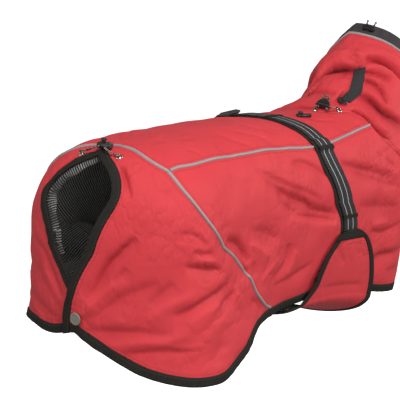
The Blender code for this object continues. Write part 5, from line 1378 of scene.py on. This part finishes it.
def plastic():
    """Moulded black plastic with a fine spark finish and slightly worn, paler high spots."""
    made = Finish("plastic", (0.012, 0.012, 0.012), 0.34)
    cloud = made.noise(160.0, 3.0)
    made.vary("Base Color", made.blend(cloud, (0.007, 0.007, 0.007), (0.022, 0.022, 0.022)))
    made.vary("Roughness", cloud * 0.25 + 0.24)
    made.relief((made.noise(1800.0, 2.0), 0.00008))
    return made.material


def nickel():
    """Plated steel with fine handling marks."""
    made = Finish("nickel", (0.46, 0.43, 0.40), 0.3, metallic=1.0)
    made.vary("Roughness", made.noise(300.0, 3.0) * 0.25 + 0.16)
    made.relief((made.noise(700.0, 2.0), 0.00005))
    return made.material


def speckled():
    """Round braided cord: black with tan flecks that wind round it."""
    made = Finish("speckled_cord", (0.03, 0.026, 0.024), 0.7)
    around, run = made.cloth_place()
    braid = (run + around * 1.2).sine(0.0034) * (run - around * 1.2).sine(0.0034)
    fleck = ((braid - 0.10) * 4.0).clamped() * (made.noise(300.0, 1.0) > 0.46)
    made.vary("Base Color", made.blend(fleck, (0.014, 0.012, 0.012), (0.62, 0.38, 0.28)))
    made.relief((braid * 0.5 + 0.5, 0.0003))
    return made.material


PLASTIC, NICKEL, SPECKLED = plastic(), nickel(), speckled()


class Seat:
    """Axes at a place: forward, sideways and out, the last kept as it is given. Places and shapes
    on it are in millimetres."""

    def __init__(self, place, out, forward):
        self.place = np.asarray(place, float)
        out = unit(np.asarray(out, float))
        forward = np.asarray(forward, float)
        forward = unit(forward - out * (forward @ out))
        self.axes = np.stack([forward, np.cross(out, forward), out])

    def at(self, points):
        """Places in the frame from places on the seat."""
        return self.place + MM * np.asarray(points, float) @ self.axes

    def drawn(self, sections, sides=28, aside=0.0):
        """Rings from sections: forward place, half width, half height, height of the middle, and
        the power that squares the superellipse. The whole may stand aside."""
        angle = np.linspace(0, 2 * np.pi, sides, endpoint=False)
        rings = []
        for x, half_width, half_height, middle, power in sections:
            y = half_width * np.sign(np.cos(angle)) * np.abs(np.cos(angle)) ** (2 / power)
            z = half_height * np.sign(np.sin(angle)) * np.abs(np.sin(angle)) ** (2 / power)
            rings.append(self.at(np.stack([np.full(sides, x), y + aside, z + middle], -1)))
        return np.array(rings)

    def lathed(self, outline, sides=32):
        """Rings round the outward axis from an outline of (radius, height)."""
        angle = np.linspace(0, 2 * np.pi, sides, endpoint=False)
        around = np.stack([np.cos(angle), np.sin(angle), 0 * angle], -1)
        return np.array([self.at(around * r + (0, 0, h)) for r, h in outline])


def joined(name, bodies, materials):
    """Several bodies, each of rings and its material's place in the list, as one object."""
    verts, faces, uvs, slots = [], [], [], []
    start = 0
    for rings, slot in bodies:
        v, f, uv = body(rings)
        verts.append(v)
        uvs.append(uv)
        faces += [tuple(int(k) + start for k in face) for face in f]
        slots += [slot] * len(f)
        start += len(v)
    return placed(name, np.concatenate(verts), faces, materials, slots, uv=np.concatenate(uvs), sharp=CRISP)


def moulded(name, node, *shapes):
    """A black plastic piece of one or more bodies."""
    dressed(joined(name, [(rings, 0) for rings in shapes], [PLASTIC]), "black_plastic", node)


def eyelet(name, seat, node):
    """A rolled ring round a hole in the cloth."""
    dressed(tube(name, seat.lathed(EYELET), [NICKEL], closed=True, sharp=CRISP), "nickel", node)


def cord_line(path, step=0.0006):
    """A smooth curve through the places, as points a step apart."""
    path = np.asarray(path, float)
    knots = distances(path)
    return smooth(knots, path, np.linspace(0, knots[-1], max(6, int(knots[-1] / step))))


def roped(path, radius, sides=12):
    """Rings of a round cord on a smooth curve through the places, carried along without a twist."""
    line = cord_line(path)
    way = unit(np.gradient(line, axis=0))
    aside = unit(np.cross(way[0], [0.3, 0.5, 0.81]))
    angle = np.linspace(0, 2 * np.pi, sides, endpoint=False)[:, None]
    rings = []
    for here, ahead in zip(line, way):
        aside = unit(aside - ahead * (aside @ ahead))
        rings.append(here + radius * (np.cos(angle) * aside + np.sin(angle) * np.cross(ahead, aside)))
    return np.array(rings)


def corded(name, path, node, radius=CORD_RADIUS):
    """A flecked cord through the places."""
    return dressed(tube(name, roped(path, radius), [SPECKLED], sharp=CRISP), "speckled_cord", node)


def drawcord(name, path, node):
    """A limp cord from its eyelet back into its lock. Its length is its curve's."""
    rope, line = corded(name, path, node), cord_line(path)


def collar_seat(at_turn, at_level, lift):
    """A seat on the collar that looks up it."""
    here, n = on_collar(np.array([at_turn]), np.array([at_level]), lift)
    up = on_collar(np.array([at_turn]), np.array([at_level + 0.05]))[0] - here
    return Seat(here[0], n[0], up[0])


lock = collar_seat(*NECK_LOCK, NECK_LOCK_LIFT)
shell = lock.drawn([(-7.3, 7.8, 2.6, -0.6, 3.0), (-7.0, 9.6, 3.6, 0, 3.4), (-5.2, 10.2, 4.2, 0, 3.4),
                    (-4.6, 9.6, 4.0, 0, 3.2), (-1.0, 8.2, 4.4, 0.4, 2.8), (3.0, 6.2, 4.3, 0.6, 2.6),
                    (5.8, 5.0, 3.6, 0.6, 2.4), (7.0, 3.6, 2.6, 0.6, 2.2)])
button = lock.drawn([(6.0, 3.4, 2.4, 0.6, 2.4), (8.8, 3.4, 2.4, 0.6, 2.4), (9.6, 2.4, 1.7, 0.6, 2.2)])
ribs = [lock.drawn([(x - 0.5, w, 4.9, 0.2, 2.8), (x + 0.5, w, 4.9, 0.2, 2.8)])
        for x, w in ((-3.0, 9.4), (-0.6, 8.6), (1.8, 7.4))]
moulded("neck_lock_body", "neck_lock", shell, button, *ribs)
for word, y in (("right", -NECK_HOLE), ("left", NECK_HOLE)):
    seat = collar_seat(*NECK_EYELETS[word], EYELET_LIFT)
    eyelet(f"neck_ring_{word}", seat, f"neck_eyelet_{word}")
    start, (entry, inside) = seat.at((0, 0, 0.4)), lock.at([(-11.2, y, 0.4), (-7.2, y, 0)])
    arch = [start + share * (entry - start) + MM * lift * seat.axes[2] for share, lift in NECK_ARCH]
    drawcord(f"neck_rope_{word}", [start, *arch, entry, inside], f"neck_cord_{word}")
path = lock.at([(6.6, 3.4, 0), (10.6, 4.6, 0.6), (14.6, 3.0, 1.4), (15.8, 0, 1.6), (14.2, -3.2, 1.2),
                (10.4, -4.4, 0.4), (6.6, -3.2, 0)])
corded("neck_rope_loop", path, "neck_cord_loop", LOOP_RADIUS)

# ---- keeper clip ------------------------------------------------------------------------------
# Black plastic, at the strap's lower end: a frame with a cross bar over the webbing and a hinged
# tongue under it.
clip = collar_seat(34.8, 0.178, 0.0058)
frame_ring = clip.drawn([(x, w, h, 0, 3.5) for x, w, h in ((-3.4, 7.0, 1.8), (-1.4, 7.2, 2.1),
                                                           (1.4, 7.0, 2.1), (3.4, 6.4, 1.6))])
bar = clip.drawn([(-3.0, 2.0, 1.3, 2.8, 3), (4.0, 1.7, 1.1, 3.0, 3)])
hinged = clip.drawn([(-5.2, 4.2, 1.0, 0.6, 2.6), (-3.4, 4.6, 1.2, 0.6, 3.0)])
moulded("clip_body", "keeper_clip", frame_ring, bar, hinged)

# ---- rim drawstring ---------------------------------------------------------------------------
# A small ribbed lock on the outside of the band, on a cord that runs inside the rim. Its two ends,
# each with a moulded tip, stand up out of the lock.
RIM_LOCK_TURN, RIM_HOLE = 21.0, 5.2
at = np.interp(RIM_LOCK_TURN, COLLAR_TURN, np.arange(len(COLLAR_TURN)))
row, half_way = int(at), band_points.shape[1] // 2
here = band_points[row, half_way] * (1 - at + row) + band_points[row + 1, half_way] * (at - row)
out = band_n[row, half_way]
seat = Seat(here + out * 0.0044, out, band_points[row, half_way + 3] - band_points[row, half_way])
shell = seat.drawn([(-4.6, 7.0, 2.4, 0, 3), (-4.0, 8.6, 3.1, 0, 3.2), (1.0, 8.8, 3.4, 0, 3.0),
                    (3.6, 8.0, 3.0, 0, 2.8), (4.6, 6.2, 2.2, 0, 2.4)])
necks = [seat.drawn([(4.0, 2.2, 2.2, 0, 2.0), (6.0, 1.9, 1.9, 0, 2.0)], aside=y)
         for y in (RIM_HOLE, -RIM_HOLE)]
grip = [seat.drawn([(x, 9.0, 3.8, 0, 3.0), (x + 0.8, 9.0, 3.8, 0, 3.0)]) for x in (-2.6, -0.4)]
moulded("rim_lock_body", "rim_lock", shell, *necks, *grip)
for word, y in (("left", RIM_HOLE), ("right", -RIM_HOLE)):
    path = seat.at([(5.0, y, 0), (7.8, y * 1.03, 0.2), (11.8, y * 1.12, 0.8)])
    tip = Seat(path[-1], path[-1] - path[1], (0, 1, 0)).lathed([(1.1, -0.4), (1.5, 0.2), (1.5, 1.2),
                                                                (0.9, 1.8)], 14)
    rope = joined(f"rim_rope_{word}", [(roped(path, CORD_RADIUS), 0), (tip, 1)], [SPECKLED, PLASTIC])
    dressed(rope, "speckled_cord", f"rim_cord_{word}")

# ---- tail drawstring --------------------------------------------------------------------------
# A turned plastic barrel with a groove and a ridged cap at its right end and a round knob on top,
# between two eyelets over the tail opening that the cord comes out of.
TAIL_LOCK, TAIL_HOLE = np.array([-0.2635, -0.0028, -0.0020]), 0.00475
TAIL_EYELET, TAIL_PATH, TAIL_CORD_LIFT = (0.046, 0.369), ((0.039, 0.362), (0.029, 0.352)), 0.0050


def coat_seat(along, drop, lift, forward=(1, 0, 0), side=RIGHT):
    """A seat on the coat that looks the way it is told."""
    here, n = coat(np.array([along]), np.array([drop]), side, lift, fine=True)
    return Seat(here[0], n[0], forward)


barrel = Seat(TAIL_LOCK, (0, -1, 0), (0, 0, 1))
turned = barrel.lathed([(1.8, -9.2), (3.0, -9.2), (3.7, -8.5), (4.0, -7.0), (4.1, 1.0), (4.0, 5.2),
                        (3.6, 5.6), (3.6, 6.2), (4.3, 6.6), (4.5, 7.8), (4.2, 8.8), (3.2, 9.4),
                        (2.0, 9.4)], 40)
window = barrel.drawn([(-4.3, 1.6, 5.2, -1.0, 2.4), (-3.6, 1.9, 5.6, -1.0, 2.4)])
moulded("tail_lock_body", "tail_lock", turned, window)
top = Seat(TAIL_LOCK + (0, 0.0010, 0.0040), (0, 0, 1), (1, 0, 0))
moulded("tail_knob", "tail_lock_knob", top.lathed([(2.2, 0), (2.3, 1.0), (3.2, 1.3), (3.5, 2.2), (3.4, 3.4),
                                                   (2.6, 4.1), (1.2, 4.4)], 30))
for side, word in SIDES:
    seat = coat_seat(*TAIL_EYELET, EYELET_LIFT, side=side)
    eyelet(f"tail_ring_{word}", seat, f"tail_eyelet_{word}")
    entry = TAIL_LOCK + (-0.0040, side * TAIL_HOLE, -0.0005)
    between = [coat(np.array([a]), np.array([d]), side, TAIL_CORD_LIFT)[0][0] for a, d in TAIL_PATH]
    path = [*seat.at([(0, 0, 0.4), (0, 0, 3.4)]), *between, entry + (-0.0030, 0, -0.0005), entry]
    drawcord(f"tail_rope_{word}", path, f"tail_cord_{word}")

# ---- snap cap ---------------------------------------------------------------------------------
# A stamped, lacquered disc with a rolled edge and a sunk middle, on the lap's lower corner.


def snap_paint():
    """Grey-beige lacquer on a stamped cap, a little mottled."""
    made = Finish("snap_paint", (0.185, 0.172, 0.148), 0.5, specular_ior_level=0.4)
    cloud = made.noise(240.0, 3.0)
    made.vary("Base Color", made.blend(cloud, (0.155, 0.143, 0.122), (0.215, 0.202, 0.176)))
    made.vary("Roughness", cloud * 0.2 + 0.38)
    made.relief((made.noise(900.0, 2.0), 0.00004))
    return made.material


snap = coat_seat(0.0050, 1.803, CLOTH / 2 + 3 * SEAM_GAP, (0, 0, 1))
cap = snap.lathed([(6.9, 0), (7.5, 0.5), (7.5, 1.3), (7.0, 1.9), (6.2, 2.2), (5.4, 1.9), (4.0, 2.0),
                   (1.2, 2.2)], 48)
dressed(tube("snap_disc", cap, [snap_paint()], sharp=CRISP), "nickel", "snap_cap")

# ---- lead slider ------------------------------------------------------------------------------
# The slider of the lead opening, in front of the belt: a hooded plastic body with an arch on it
# that holds a pull tab.
slider = coat_seat(0.497, 0.163, 0.0034, (1.0, -0.35, 0))
hood = slider.drawn([(-11.8, 2.2, 1.2, 0, 2.4), (-10.0, 4.0, 1.9, 0, 2.8), (-3.0, 4.6, 2.2, 0, 3.0),
                     (2.0, 3.0, 1.9, 0, 2.6), (6.0, 3.0, 2.1, 0.2, 2.6), (10.4, 3.6, 2.2, 0.2, 2.6),
                     (12.0, 2.4, 1.2, 0, 2.4)])
arch = roped(slider.at([(-9.0, 0, 1.6), (-8.0, 0, 3.6), (-4.0, 0, 4.0), (-2.6, 0, 1.8)]), 0.0009)
moulded("slider_body", "lead_slider", hood, arch)
tab = slider.drawn([(-9.8, 1.6, 0.8, 4.2, 2.4), (-8.8, 2.7, 1.1, 4.2, 3), (-4.2, 2.5, 1.1, 4.2, 3),
                    (-3.0, 1.2, 0.7, 4.2, 2.4)])
moulded("slider_pull", "lead_slider_tab", tab)

# ---- buckle -----------------------------------------------------------------------------------
# A fastened side-release buckle on the left, moulded in two parts: a housing open at both sides, and
# a tongue whose two arms show in the openings.
BUCKLE_LIFT, ARM_ASIDE = 0.0056, 18.6
ends, n = coat(*middle[[first, (first + last) // 2, last]].T, LEFT, BUCKLE_LIFT)
buckle = Seat(ends[1], n[1], ends[2] - ends[0])
reach = float(np.linalg.norm(ends[2] - ends[0])) / 2 / MM
housing = buckle.drawn([(0.4 - reach, 17.8, 1.8, -0.4, 4), (2.0 - reach, 19.0, 2.4, 0, 4),
                        (-0.6 * reach, 19.2, 3.2, 0, 4.5), (-0.3 * reach, 17.0, 3.5, 0, 4.5),
                        (-0.04 * reach, 18.6, 3.5, 0, 4.5), (0.16 * reach, 19.8, 3.4, 0, 4.5),
                        (0.2 * reach, 19.2, 2.8, 0, 4)], 48)
slot_bar = buckle.drawn([(-0.92 * reach, 15.0, 0.6, 2.6, 3), (-0.8 * reach, 15.0, 0.6, 3.2, 3)])
moulded("buckle_housing_body", "buckle_housing", housing, slot_bar)
tongue = buckle.drawn([(0.215 * reach, 16.2, 2.4, -0.6, 4), (0.3 * reach, 17.2, 2.8, -0.6, 4),
                       (0.86 * reach, 16.8, 2.6, -0.6, 4), (0.98 * reach, 15.8, 1.8, -0.6, 4)], 48)
arms = [buckle.drawn([(-0.2 * reach, 1.4, 2.0, 0, 3), (0.0, 2.2, 2.4, 0, 3), (0.14 * reach, 2.0, 2.4, 0, 3)],
                     aside=y) for y in (ARM_ASIDE, -ARM_ASIDE)]
moulded("buckle_tongue_body", "buckle_tongue", tongue, *arms)
